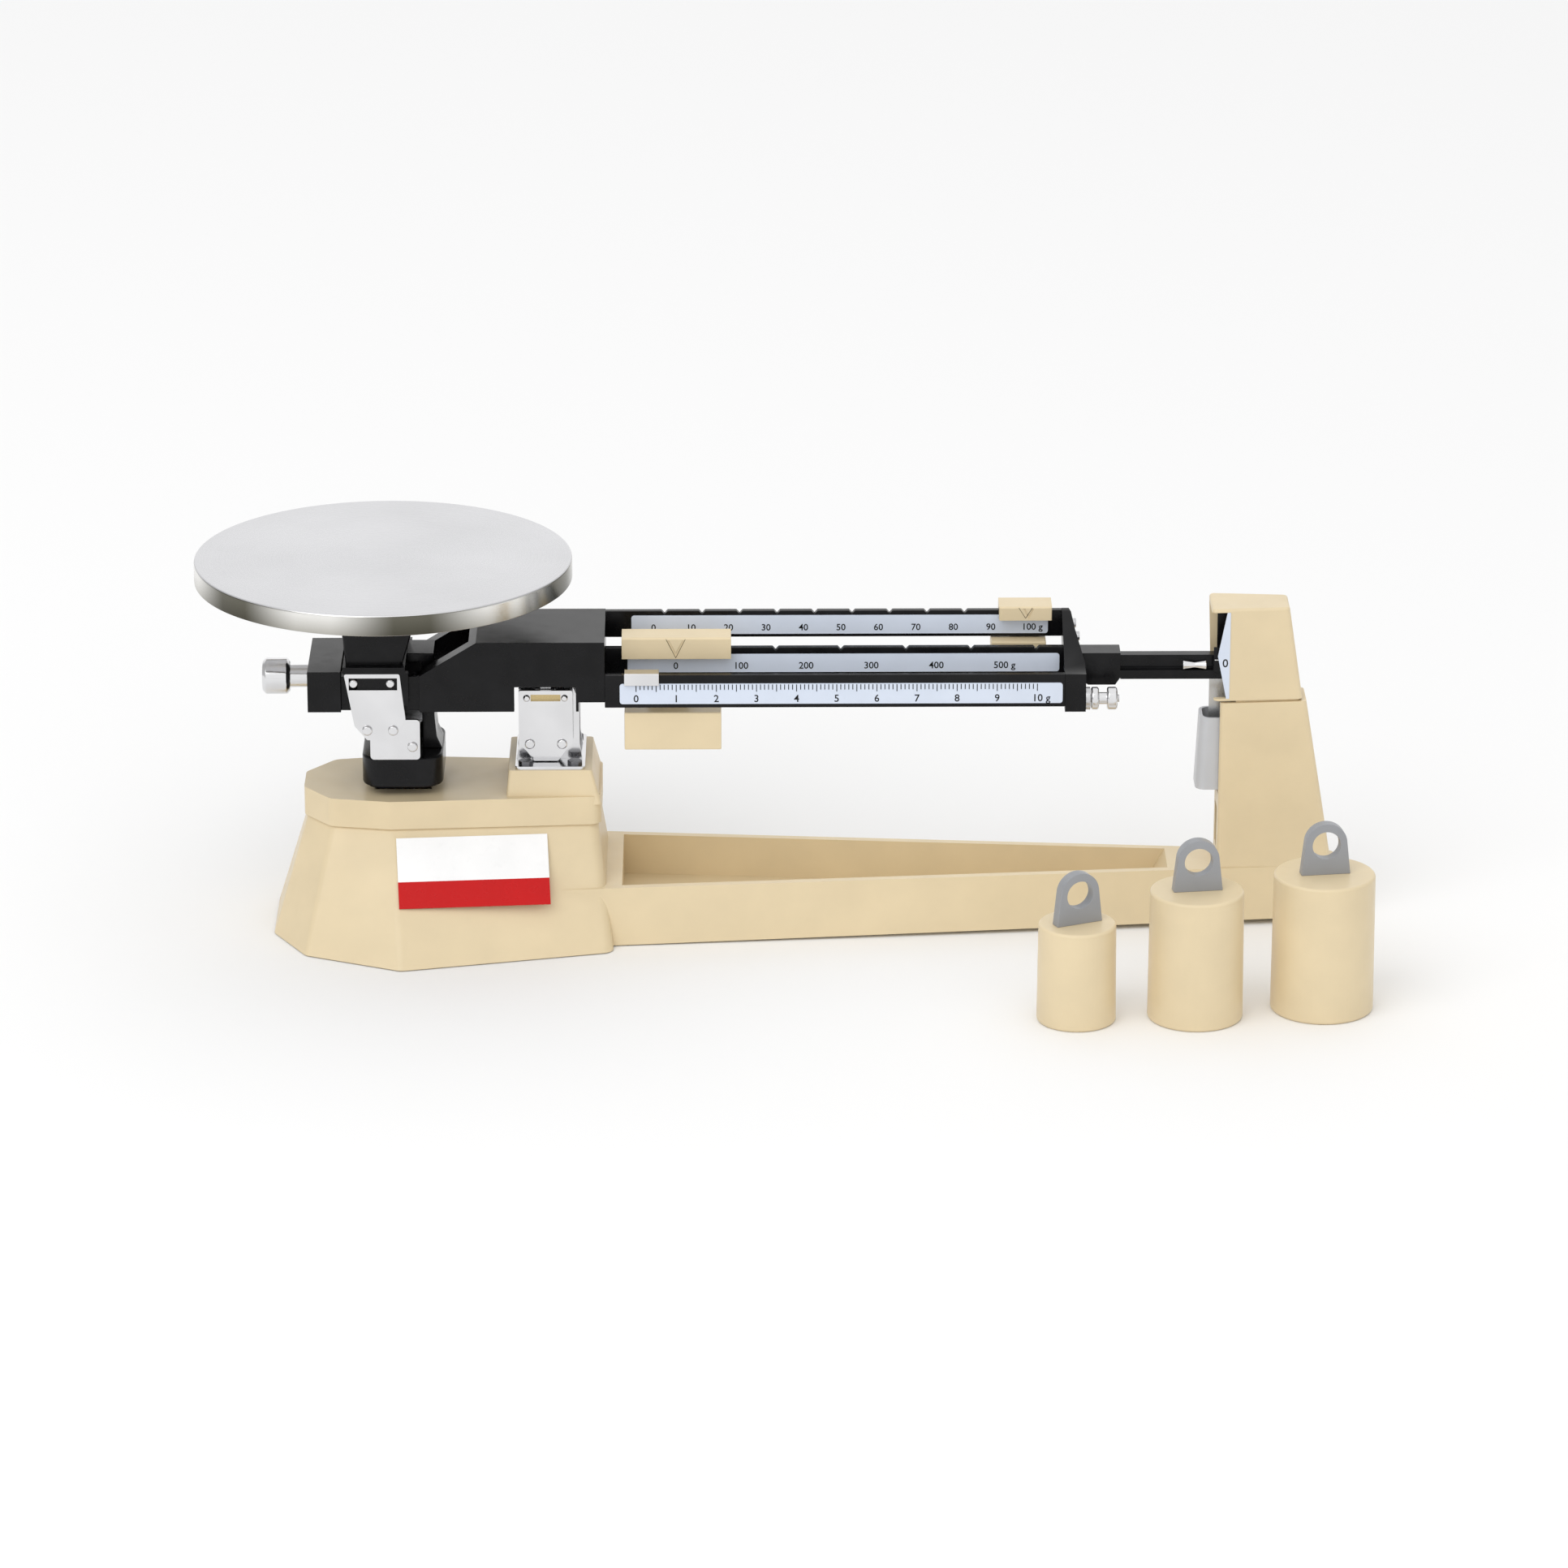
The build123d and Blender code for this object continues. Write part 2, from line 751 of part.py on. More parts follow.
def make_stand():
    """Bent sheet stand of the fulcrum, screwed to the step."""
    top_z = step_top_z + flange_sheet
    flange = block(flange_left_x, flange_right_x, -flange_half, flange_half, step_top_z, top_z)
    flange = fillet(flange.edges().filter_by(Axis.Z), 2.0)
    stand = flange
    outer = cheek_inner + stand_sheet
    profile = [
        (stand_left_x - 1, top_z), (stand_right_x + 1, top_z), (stand_right_x, top_z + 6),
        (stand_right_x, stand_top_z - 6), (stand_cover_half, stand_top_z),
        (stand_left_x, stand_top_z), (stand_left_x, top_z + 6),
    ]
    for side in (-1, 1):
        y0, y1 = sorted([side * cheek_inner, side * outer])
        stand += side_prism(profile, y0, y1)
    notch = [(-knife_width, stand_top_z + 1), (knife_width, stand_top_z + 1), (knife_width / 2, fulcrum_z - 1.2),
             (-knife_width / 2, fulcrum_z - 1.2)]
    stand -= side_prism(notch, -outer - 1, outer + 1)
    for x, y in stand_bolt_places():
        stand -= rod_z(step_top_z - 1, top_z + 1, x, y, large_screw_radius)
    return stand


def stand_bolt_places():
    """Four bolts at the corners of the stand's flange."""
    inset_by = 2 * large_screw_radius
    places = []
    for x in (flange_left_x + inset_by, flange_right_x - inset_by):
        for side in (-1, 1):
            places.append((x, side * (flange_half - inset_by)))
    return places


def hex_head(x, y, z0, z1, radius):
    """Hexagon head along z."""
    return Pos(x, y, z0) * extrude(RegularPolygon(radius, 6), amount=z1 - z0)


def make_stand_bolts():
    """Dark bolts that hold the stand on the step."""
    top_z = step_top_z + flange_sheet
    bolts = []
    for x, y in stand_bolt_places():
        bolt = hex_head(x, y, top_z, top_z + 1.4, 1.7 * large_screw_radius / 1.2)
        bolts.append(bolt + rod_z(step_top_z, top_z, x, y, large_screw_radius - fit_gap))
    return bolts


def bearing_block(half_x, y0, y1, low_z, high_z, edge_z, opens_up):
    """Hard bearing block with a shallow V for a knife edge."""
    piece = block(-half_x, half_x, y0, y1, low_z, high_z)
    wide = 1.3 * (high_z - low_z)
    mouth_z = high_z + 1 if opens_up else low_z - 1
    apex_z = edge_z - edge_gap if opens_up else edge_z + edge_gap
    reach = abs(mouth_z - apex_z) * 1.6
    reach = min(reach, wide)
    return piece - side_prism([(0, apex_z), (reach, mouth_z), (-reach, mouth_z)], y0 - 1, y1 + 1)


def make_fulcrum_bearings():
    """Two bearing blocks screwed to the outside of the stand's cheeks."""
    blocks = []
    inner = cheek_inner + stand_sheet
    for side in (-1, 1):
        y0, y1 = sorted([side * inner, side * (inner + bearing_thickness)])
        blocks.append(bearing_block(stand_cover_half - 1, y0, y1, fulcrum_z - 5, stand_cover_high_z - 0.4,
                                    fulcrum_z, True))
    return blocks


def make_thrust_plates():
    """Brass end plates that keep the knife from creeping sideways."""
    plates = []
    inner = cheek_inner + stand_sheet + bearing_thickness
    for side in (-1, 1):
        y0, y1 = sorted([side * inner, side * (inner + thrust_thickness)])
        plate = block(-stand_cover_half + 1, stand_cover_half - 1, y0, y1, stand_window_low_z - 1,
                      stand_window_high_z + 1)
        plates.append(plate)
    return plates


def stand_cover_y():
    """Inner face of the fulcrum covers."""
    return cheek_inner + stand_sheet + bearing_thickness + thrust_thickness


def make_stand_covers():
    """Front and rear cover of the fulcrum."""
    return [make_stand_cover(side) for side in (-1, 1)]


def make_stand_cover(side):
    """Bright cover plate with a window and a tongue at the foot."""
    half = stand_cover_half
    tongue = half * 0.45
    outline = [
        (-half, stand_cover_high_z), (half, stand_cover_high_z), (half, stand_cover_low_z + 3),
        (half * 0.72, stand_cover_low_z), (tongue, stand_tongue_low_z), (-tongue, stand_tongue_low_z),
        (-half * 0.72, stand_cover_low_z), (-half, stand_cover_low_z + 3),
    ]
    inner = stand_cover_y()
    y0, y1 = sorted([side * inner, side * (inner + cover_sheet)])
    cover = side_prism(outline, y0, y1, 0.9)
    window_z0 = stand_window_low_z
    cover -= block(-stand_window_half, stand_window_half, y0 - 1, y1 + 1, window_z0, stand_window_high_z)
    for x, z, radius in stand_screw_places():
        cover -= rod_y(y0 - 1, y1 + 1, x, z, radius * shank_share)
    return cover


def stand_screw_places():
    """x, z and head radius of the four screws on each cover of the fulcrum."""
    places = []
    for side in (-1, 1):
        places.append((side * stand_screw_offset, stand_screw_high_z, small_screw_radius))
        places.append((side * stand_low_screw_offset, stand_screw_low_z, large_screw_radius))
    return places


def screw_y(side, face_y, x, z, radius, depth):
    """Screw along y: a domed head on a face and its shank going in."""
    head_0, head_1 = sorted([side * face_y, side * (face_y + screw_head)])
    head = rod_y(head_0, head_1, x, z, radius)
    rim = [edge for edge in head.edges() if abs(abs(edge.center().Y) - (face_y + screw_head)) < 0.01]
    head = chamfer(rim, screw_head * 0.45)
    shank_0, shank_1 = sorted([side * face_y, side * (face_y - depth)])
    return head + rod_y(shank_0, shank_1, x, z, radius * shank_share)


def make_stand_screws():
    """Two small and two large screws on each cover of the fulcrum."""
    face = stand_cover_y() + cover_sheet
    screws = []
    for side in (-1, 1):
        for x, z, radius in stand_screw_places():
            screws.append(screw_y(side, face, x, z, radius, cover_sheet))
    return screws


def make_beam():
    """Cast beam: a fork round the pan hanger, then a box over the fulcrum."""
    outline = [
        (beam_left_x, arm_low_z), (beam_left_x, block_top_z), (block_right_x, block_top_z),
        (block_right_x, arm_top_z), (wing_x, arm_top_z), (box_left_x, box_top_z), (box_right_x, box_top_z),
        (box_right_x, box_step_z), (box_step_x, box_step_z), (box_step_x, arm_low_z),
    ]
    beam = side_prism(outline, -beam_half, beam_half)
    pocket = block(block_right_x, box_left_x - box_wall, -arm_inner, arm_inner, arm_low_z - 1, box_top_z + 1)
    beam -= pocket
    for side in (-1, 1):
        y0, y1 = sorted([side * arm_outer, side * (beam_half + 1)])
        beam -= block(block_right_x, arm_full_x, y0, y1, arm_low_z - 1, arm_top_z + 1)
    hollow = block(box_left_x, box_right_x - box_wall, -beam_half + box_wall, beam_half - box_wall,
                   arm_low_z - 1, box_top_z - box_wall)
    knife_block = block(-knife_block_half, knife_block_half, -knife_block_width, knife_block_width,
                        fulcrum_z + knife_height * 0.4, box_top_z - box_wall)
    beam -= hollow
    arch = block(-arch_half, arch_half, -beam_half - 1, beam_half + 1, arm_low_z - 1, arch_top_z)
    beam -= arch
    beam += knife_block
    beam -= fulcrum_knife_solid(0)
    beam -= pan_knife_solid(0)
    beam -= rod_x(beam_left_x - 1, block_right_x + 1, 0, knob_z, lead_screw_radius + hinge_gap)
    return beam


def fulcrum_knife_solid(grow):
    """Steel prism across the beam with its edge down."""
    half = knife_width / 2 + grow
    top = fulcrum_z + knife_height + grow
    reach = stand_cover_y() - thrust_thickness - knife_end_gap
    outline = [(0, fulcrum_z), (half, fulcrum_z + half * 1.7), (half, top), (-half, top), (-half, fulcrum_z + half * 1.7)]
    return side_prism(outline, -reach, reach)


def pan_knife_solid(grow):
    """Steel prism across the fork with its edge up."""
    half = knife_width / 2 + grow
    low = pan_knife_z - knife_height - grow
    reach = cover_inner - knife_end_gap
    outline = [(0, pan_knife_z), (half, pan_knife_z - half * 1.7), (half, low), (-half, low),
               (-half, pan_knife_z - half * 1.7)]
    prism = Pos(-pan_arm, 0, 0) * side_prism(outline, -reach, reach)
    return prism


def make_pan_knives():
    """Short pan knives, one in each arm of the fork."""
    knife = pan_knife_solid(0)
    inner = arm_inner
    gap = block(-pan_arm - knife_width, -pan_arm + knife_width, -inner, inner, pan_knife_z - 9, pan_knife_z + 9)
    return knife - gap


def notch_xs(zero_x, division, count, lead):
    """Places of the notches of one rail."""
    return [zero_x + lead + index * division for index in range(count + 1)]


def make_rail(front_y, low_z, top_z, notches):
    """Flat rail, notched along its top edge."""
    rail = block(rail_left_x, rail_right_x, front_y, front_y + rail_thickness, low_z, top_z)
    for x in notches:
        vee = [(x - notch_half, top_z + 0.1), (x, top_z - notch_depth), (x + notch_half, top_z + 0.1)]
        rail -= side_prism(vee, front_y - 1, front_y + rail_thickness + 1)
    return rail


def make_front_rail():
    """Plain rail of the smallest scale."""
    return make_rail(front_rail_y, front_rail_low_z, front_rail_top_z, [])


def make_centre_rail():
    """Notched rail of the largest scale."""
    notches = notch_xs(centre_zero_x, centre_division, centre_divisions, centre_notch_lead)
    return make_rail(centre_rail_y, centre_rail_low_z, centre_rail_top_z, notches)


def make_rear_rail():
    """Notched rail of the middle scale."""
    notches = notch_xs(rear_zero_x, rear_division, rear_divisions, rear_notch_lead)
    return make_rail(rear_rail_y, rear_rail_low_z, rear_rail_top_z, notches)


def make_scale_plate(front_y, left_x, right_x, low_z, high_z):
    """White scale plate on the front of a rail."""
    outline = [(left_x, low_z), (right_x, low_z), (right_x, high_z), (left_x, high_z)]
    return side_prism(outline, front_y - plate_thickness, front_y, 1.2)


def make_end_frame():
    """Casting that joins the right ends of the rails and carries the socket."""
    rear_y = rear_rail_y + rail_thickness
    front_y = front_rail_y
    plan = [
        (rail_right_x, front_y), (end_frame_front_x, front_y), (end_frame_front_x, -socket_half - 6),
        (end_frame_rear_x + 2, socket_half), (end_frame_rear_x, rear_y), (rail_right_x, rear_y),
    ]
    slab = plan_prism(plan, end_frame_low_z, rear_rail_top_z)
    rise = [
        (front_y - 1, front_rail_top_z), (front_y + 8, front_rail_top_z), (centre_rail_y, centre_rail_top_z),
        (rear_rail_y - 2, rear_rail_top_z), (rear_rail_y - 2, rear_rail_top_z + 1), (front_y - 1, rear_rail_top_z + 1),
    ]
    cut = extrude(make_face(Polyline(*[(rail_right_x - 1, y, z) for y, z in rise], close=True)),
                  amount=end_frame_front_x - rail_right_x + 2, dir=(1, 0, 0))
    under = [
        (centre_rail_y + rail_thickness, end_frame_low_z - 1), (rear_y + 1, end_frame_low_z - 1),
        (rear_y + 1, rear_rail_low_z), (rear_rail_y, rear_rail_low_z),
        (centre_rail_y + rail_thickness, centre_rail_low_z - 4),
    ]
    low_cut = extrude(make_face(Polyline(*[(rail_right_x - 1, y, z) for y, z in under], close=True)),
                      amount=end_frame_front_x - rail_right_x + 2, dir=(1, 0, 0))
    frame = slab - cut - low_cut
    for x, y, z in frame_screw_places():
        frame -= rod_x(x, x + 4 * screw_head, y, z, small_screw_radius * 1.4 + fit_gap)
        frame -= rod_x(x - screw_head, x, y, z, small_screw_radius * shank_share)
    return frame


def frame_screw_places():
    """x, y and z of the two dark screws on the outside of the end frame."""
    return [
        (end_frame_rear_x + 0.6, rear_rail_y - 1.5, rear_rail_top_z - 5),
        (end_frame_rear_x + 1.8, socket_half + 3.0, centre_rail_top_z + 0.6),
    ]


def make_frame_screws():
    """Dark screw heads on the outside of the end frame."""
    screws = []
    for x, y, z in frame_screw_places():
        head = rod_x(x, x + 2 * screw_head, y, z, small_screw_radius * 1.4)
        screws.append(head + rod_x(x - screw_head, x, y, z, small_screw_radius * shank_share))
    return screws


def make_pointer_arm():
    """Socket on the end frame and the stepped bar that runs into the tower."""
    socket_points = [
        (socket_left_x, socket_low_z + 4), (socket_left_x + 5, socket_low_z), (socket_right_x - 2, socket_low_z),
        (socket_right_x, socket_low_z + 3), (socket_right_x, socket_top_z), (socket_left_x, socket_top_z),
    ]
    socket = side_prism(socket_points, -socket_half, socket_half)
    upper = block(socket_right_x, arm_end_x, -arm_upper_half, arm_upper_half, arm_ledge_z, arm_bar_top_z)
    lower = block(socket_right_x, arm_end_x, -arm_ledge_half, arm_upper_half, arm_bar_low_z, arm_ledge_z)
    return socket + upper + lower - make_end_frame()


def make_pointer():
    """Black pointer plate at the end of the arm, in the tower's window."""
    y0 = pointer_y
    y1 = pointer_y + pointer_thickness
    leaf = block(pointer_left_x, pointer_right_x, y0, y1, zero_line_z - pointer_half_height,
                 zero_line_z + pointer_half_height)
    foot = block(pointer_left_x, pointer_right_x, y0, -arm_upper_half, arm_ledge_z, arm_ledge_z + 1.2)
    web = block(pointer_left_x, pointer_right_x, y0, y1, arm_ledge_z, zero_line_z)
    return leaf + foot + web


def make_weight_pin():
    """Bright pin with a waist on the arm, for the loops of the loose weights."""
    x = pin_arm
    z = arm_ledge_z + pin_radius
    y = -arm_upper_half - pin_radius
    cone = pin_length / 2
    left = Pos(x - cone / 2, y, z) * Rot(0, 90, 0) * Cone(pin_radius, pin_radius * 0.6, cone)
    right = Pos(x + cone / 2, y, z) * Rot(0, 90, 0) * Cone(pin_radius * 0.6, pin_radius, cone)
    return left + right


def make_vane():
    """Thin aluminium vane that hangs from the arm into the damper cup."""
    x = cup_left_x + cup_draft + cup_wall + 2.4
    vane = block(x, x + vane_length, -vane_thickness / 2, vane_thickness / 2, vane_low_z, arm_bar_low_z)
    return vane


def make_stud():
    """Threaded stud and lock ring for the calibration nut."""
    x0 = end_frame_front_x
    ring = rod_x(x0, x0 + lock_ring_length, nut_y, nut_z, nut_flange_radius)
    return ring + rod_x(x0, x0 + stud_length, nut_y, nut_z, stud_radius)


def make_calibration_nut():
    """Bright spool shaped nut."""
    x0 = end_frame_front_x + lock_ring_length + fit_gap
    x1 = x0 + nut_length
    nut = rod_x(x0, x0 + nut_flange, nut_y, nut_z, nut_flange_radius)
    nut += rod_x(x0, x1, nut_y, nut_z, nut_neck_radius)
    nut += rod_x(x1 - nut_flange - 1, x1, nut_y, nut_z, nut_flange_radius)
    rims = [edge for edge in nut.edges() if abs(edge.length - 2 * math.pi * nut_flange_radius) < 0.1]
    nut = chamfer(rims, 0.6)
    return nut - rod_x(x0 - 1, x1 + 1, nut_y, nut_z, stud_radius + hinge_gap)


def make_zero_knob():
    """Round knob, its shaft outside the beam and its lead screw inside."""
    face = beam_left_x - fit_gap
    knob = rod_x(face - shaft_length - knob_length, face - shaft_length, 0, knob_z, knob_radius)
    rims = [edge for edge in knob.edges() if edge.length > 2 * knob_radius + 1]
    knob = chamfer([edge for edge in rims if edge.geom_type == GeomType.CIRCLE], 1.4)
    shaft = rod_x(face - shaft_length, face, 0, knob_z, shaft_radius)
    return knob + shaft + rod_x(face, lead_screw_end_x, 0, knob_z, lead_screw_radius)


def make_zero_weight():
    """Sliding weight between the arms of the fork, moved by the lead screw."""
    x0 = block_right_x + weight_travel + fit_gap
    half = arm_inner - fit_gap
    piece = block(x0, x0 + weight_length, -half, half, weight_low_z, weight_high_z)
    piece = chamfer(piece.edges().filter_by(Axis.X), 1.0)
    return piece - rod_x(x0 - 1, x0 + weight_length + 1, 0, knob_z, lead_screw_radius + hinge_gap)


def cover_outline():
    """Tapered outline of the hanger's covers, rounded below."""
    return [
        (cover_top_left_x, cover_high_z), (cover_top_right_x, cover_high_z),
        (cover_low_right_x, cover_low_z + 8), (cover_low_right_x - 5, cover_low_z),
        (cover_low_left_x + 5, cover_low_z), (cover_low_left_x, cover_low_z + 6),
    ]


def make_hanger_covers():
    """Bright cover plates, front and rear, each with a long slot across its head."""
    covers = []
    for side in (-1, 1):
        y0, y1 = sorted([side * cover_inner, side * (cover_inner + cover_sheet)])
        cover = side_prism(cover_outline(), y0, y1, 0.9)
        slot = block(cover_top_left_x + slot_inset, cover_top_right_x - slot_inset / 2, y0 - 1, y1 + 1,
                     slot_low_z, slot_high_z)
        for x, z in cover_screw_places():
            cover -= rod_y(y0 - 1, y1 + 1, x, z, large_screw_radius * shank_share)
        covers.append(cover - slot)
    return covers


def slot_screw_places():
    """The two screws in the slot of each cover, which hold the bearing block."""
    z = (slot_low_z + slot_high_z) / 2
    return [(cover_top_left_x + slot_screw_inset, z), (cover_top_right_x - slot_screw_inset, z)]


def cover_screw_places():
    """The two screws low on each cover."""
    z = cover_low_z + cover_screw_rise
    return [(cover_low_left_x + cover_screw_inset, z), (cover_low_right_x - cover_screw_inset, z)]


def bracket_screw_place():
    """The screw low on each cheek of the bracket."""
    return (bracket_right_x - cover_screw_inset * 0.6, cover_low_z - 3.2)


def make_hanger_bearings():
    """Bearing blocks that rest on the pan knives, behind the slots of the covers."""
    blocks = []
    half = (cover_top_right_x - cover_top_left_x) / 2 - 1
    for side in (-1, 1):
        y0, y1 = sorted([side * hanger_bearing_inner, side * cover_inner])
        piece = Pos(-pan_arm, 0, 0) * bearing_block(half, y0, y1, hanger_bearing_low_z, cover_high_z,
                                                    pan_knife_z, False)
        for x, z in slot_screw_places():
            piece -= rod_y(y0 - 1, y1 + 1, x, z, slot_screw_radius * shank_share)
        blocks.append(piece)
    return blocks


def make_hanger_screws():
    """Round screws of the hanger: two in each slot and three lower down."""
    screws = []
    for side in (-1, 1):
        for x, z in slot_screw_places():
            screws.append(screw_y(side, cover_inner, x, z, slot_screw_radius, cover_sheet))
        for x, z in cover_screw_places():
            screws.append(screw_y(side, cover_inner + cover_sheet, x, z, large_screw_radius, cover_sheet))
        x, z = bracket_screw_place()
        screws.append(screw_y(side, cover_inner, x, z, large_screw_radius, bracket_sheet))
    return screws


def make_hanger_bracket():
    """Bent bright bracket under the beam, which joins the two covers."""
    floor_z = foot_high_z
    plate = block(bracket_left_x, bracket_right_x, -cover_inner, cover_inner, floor_z, floor_z + bracket_sheet)
    cheek = [
        (bracket_left_x, floor_z), (bracket_right_x, floor_z), (bracket_right_x, bracket_top_z),
        (cover_low_right_x, bracket_top_z), (bracket_left_x, cover_low_z + 4),
    ]
    bracket = plate
    for side in (-1, 1):
        y0, y1 = sorted([side * (cover_inner - bracket_sheet), side * cover_inner])
        bracket += side_prism(cheek, y0, y1)
    x, z = bracket_screw_place()
    return bracket - rod_y(-cover_inner - 1, cover_inner + 1, x, z, large_screw_radius * shank_share)


def make_hanger_foot():
    """Black skirt that hovers over the pedestal and hides the hole for the stem."""
    plan = [(foot_left_x, foot_half), (foot_right_x, foot_half)]
    foot = plan_prism(both_sides(plan), foot_low_z, foot_high_z, foot_corner)
    inner = inset(plan, foot_wall)
    foot -= plan_prism(both_sides(inner), foot_low_z - 1, foot_high_z - foot_wall, foot_corner - foot_wall)
    edges = [edge for edge in foot.edges() if abs(edge.center().Z - foot_high_z) < 0.01]
    return fillet(edges, 1.0)


def make_hanger_post():
    """Black post from the skirt up through the fork to the saddle."""
    outline = [
        (post_left_x, foot_high_z), (post_right_x + 3, foot_high_z), (post_right_x + 0.8, foot_high_z + 5),
        (post_right_x, foot_high_z + 14), (post_right_x, cover_high_z + 3.6), (saddle_right_x, cover_high_z + 3.6),
        (saddle_right_x, cover_high_z), (post_left_x, cover_high_z),
    ]
    return side_prism(outline, -post_half, post_half)


def make_hanger_stem():
    """Flat stem from the skirt down into the pedestal, with the hole for the link pin."""
    top = foot_high_z - foot_wall
    low = stem_pivot_z - stem_half_x
    stem = block(stem_x - stem_half_x, stem_x + stem_half_x, -stem_half_y, stem_half_y, low, top)
    return stem - rod_y(-stem_half_y - 1, stem_half_y + 1, stem_x, stem_pivot_z, link_pin_radius)


def make_saddle():
    """Black saddle over the fork, widening up to the seat of the pan."""
    lip_z = cover_high_z
    seat_z = pan_top_z - pan_sheet
    lip = block(saddle_left_x, saddle_right_x, -saddle_lip_half, saddle_lip_half, lip_z, lip_z + saddle_lip)
    low = [(saddle_left_x + 1, saddle_waist_half), (saddle_right_x - 1, saddle_waist_half)]
    high = [(saddle_top_left_x, saddle_top_half), (saddle_top_right_x, saddle_top_half)]
    neck = plan_loft(low, lip_z + saddle_lip, high, seat_z, 1.5)
    groove_out = rod_z(seat_z - socket_height - fit_gap, seat_z + 1, -pan_arm, 0, socket_radius + fit_gap)
    groove_in = rod_z(seat_z - socket_height - 1, seat_z + 1, -pan_arm, 0, spigot_radius)
    return lip + neck - (groove_out - groove_in)


def make_pan():
    """Round stainless pan with a plain skirt."""
    low = pan_top_z - pan_skirt
    disc = rod_z(low, pan_top_z, -pan_arm, 0, pan_radius)
    top_rim = [edge for edge in disc.edges() if edge.center().Z > pan_top_z - 0.01 and edge.length > 1]
    disc = fillet([edge for edge in top_rim if edge.geom_type == GeomType.CIRCLE], 1.0)
    return disc - rod_z(low - 1, pan_top_z - pan_sheet, -pan_arm, 0, pan_radius - pan_sheet)


def make_pan_socket():
    """Ring under the pan that drops into the saddle's groove."""
    top = pan_top_z - pan_sheet
    ring = rod_z(top - socket_height, top, -pan_arm, 0, socket_radius)
    return ring - rod_z(top - socket_height - 1, top + 1, -pan_arm, 0, spigot_radius + fit_gap)


def make_check_link():
    """Two parallel straps joined by a bridge, from the base bracket to the stem."""
    half = link_height / 2
    inner = stem_half_y + link_side_gap
    x0, z0 = stem_pivot
    x1, z1 = base_pivot
    outline = [
        (x0 - half, z0 - half), (x1 + half, z1 - half), (x1 + half, z1 + half), (x0 - half, z0 + half),
    ]
    link = side_prism(outline, -inner - link_plate, -inner, half * 0.6)
    link += side_prism(outline, inner, inner + link_plate, half * 0.6)
    middle = (x0 + x1) / 2
    link += block(middle - 8, middle + 8, -inner - link_plate, inner + link_plate, (z0 + z1) / 2 - 1.5,
                  (z0 + z1) / 2 + 1.5)
    reach = inner + link_plate + 1
    link -= rod_y(-reach, reach, x1, z1, link_pin_radius + hinge_gap)
    link -= rod_y(-reach, reach, x0, z0, link_pin_radius + open_pivot_gap)
    return link


def make_link_pin(pivot):
    """Headed pin of the check link."""
    x, z = pivot
    reach = stem_half_y + link_side_gap + link_plate + fit_gap
    pin = rod_y(-reach, reach, x, z, link_pin_radius)
    for side in (-1, 1):
        y0, y1 = sorted([side * reach, side * (reach + 1.0)])
        pin += rod_y(y0, y1, x, z, link_pin_radius + 1.2)
    return pin


def make_front_poise():
    """Bright sheet slider that straddles the front rail."""
    x0 = front_poise_left_x
    x1 = x0 + front_poise_length
    sheet = front_poise_sheet
    front_y = front_rail_y - plate_thickness - fit_gap
    rear_y = front_rail_y + rail_thickness + fit_gap
    top_z = front_rail_top_z + fit_gap
    low_z = top_z - front_poise_drop
    slider = block(x0, x1, front_y - sheet, rear_y + sheet, low_z, top_z + sheet)
    return slider - block(x0 - 1, x1 + 1, front_y, rear_y, low_z - 1, top_z)


def make_centre_cap():
    """Painted cap of the centre poise, with a V mark cut in its face."""
    x0 = centre_cap_left_x
    x1 = x0 + centre_cap_length
    cap = block(x0, x1, centre_cap_front_y, centre_cap_rear_y, centre_cap_low_z, centre_cap_high_z)
    slot_front = centre_rail_y - plate_thickness - fit_gap
    slot_rear = centre_rail_y + rail_thickness + fit_gap
    cap -= block(x0 - 1, x1 + 1, slot_front, slot_rear, centre_cap_low_z - 1, centre_rail_top_z + fit_gap)
    cap = chamfer(cap.edges().filter_by(Axis.X).group_by(Axis.Z)[-1], 0.6)
    return cap - vee_mark(centre_zero_x, centre_cap_front_y, centre_cap_low_z, centre_cap_high_z)


def vee_mark(x, face_y, low_z, high_z):
    """Shallow engraved V whose point stands over the scale."""
    rise = (high_z - low_z) * 0.75
    half = rise * 0.5
    width = 0.35
    tip_z = low_z + 0.12 * (high_z - low_z)
    top_z = tip_z + rise
    outline = [
        (x, tip_z), (x + half, top_z), (x + half - 2 * width, top_z), (x, tip_z + 4 * width),
        (x - half + 2 * width, top_z), (x - half, top_z),
    ]
    return side_prism(outline, face_y - 1, face_y + poise_notch_depth)


def make_centre_strap():
    """Strap behind the rail from the cap down to the hanging block."""
    x0 = centre_strap_left_x
    y0 = centre_rail_y + rail_thickness + 3 * fit_gap
    return block(x0, x0 + centre_strap_length, y0, y0 + strap_thickness, centre_block_high_z, centre_cap_low_z)


def make_centre_block():
    """Heavy block that hangs under the rails."""
    x0 = centre_block_left_x
    piece = block(x0, x0 + centre_block_length, centre_block_front_y, centre_block_rear_y, centre_block_low_z,
                  centre_block_high_z)
    return fillet(piece.edges().filter_by(Axis.X), 0.6)


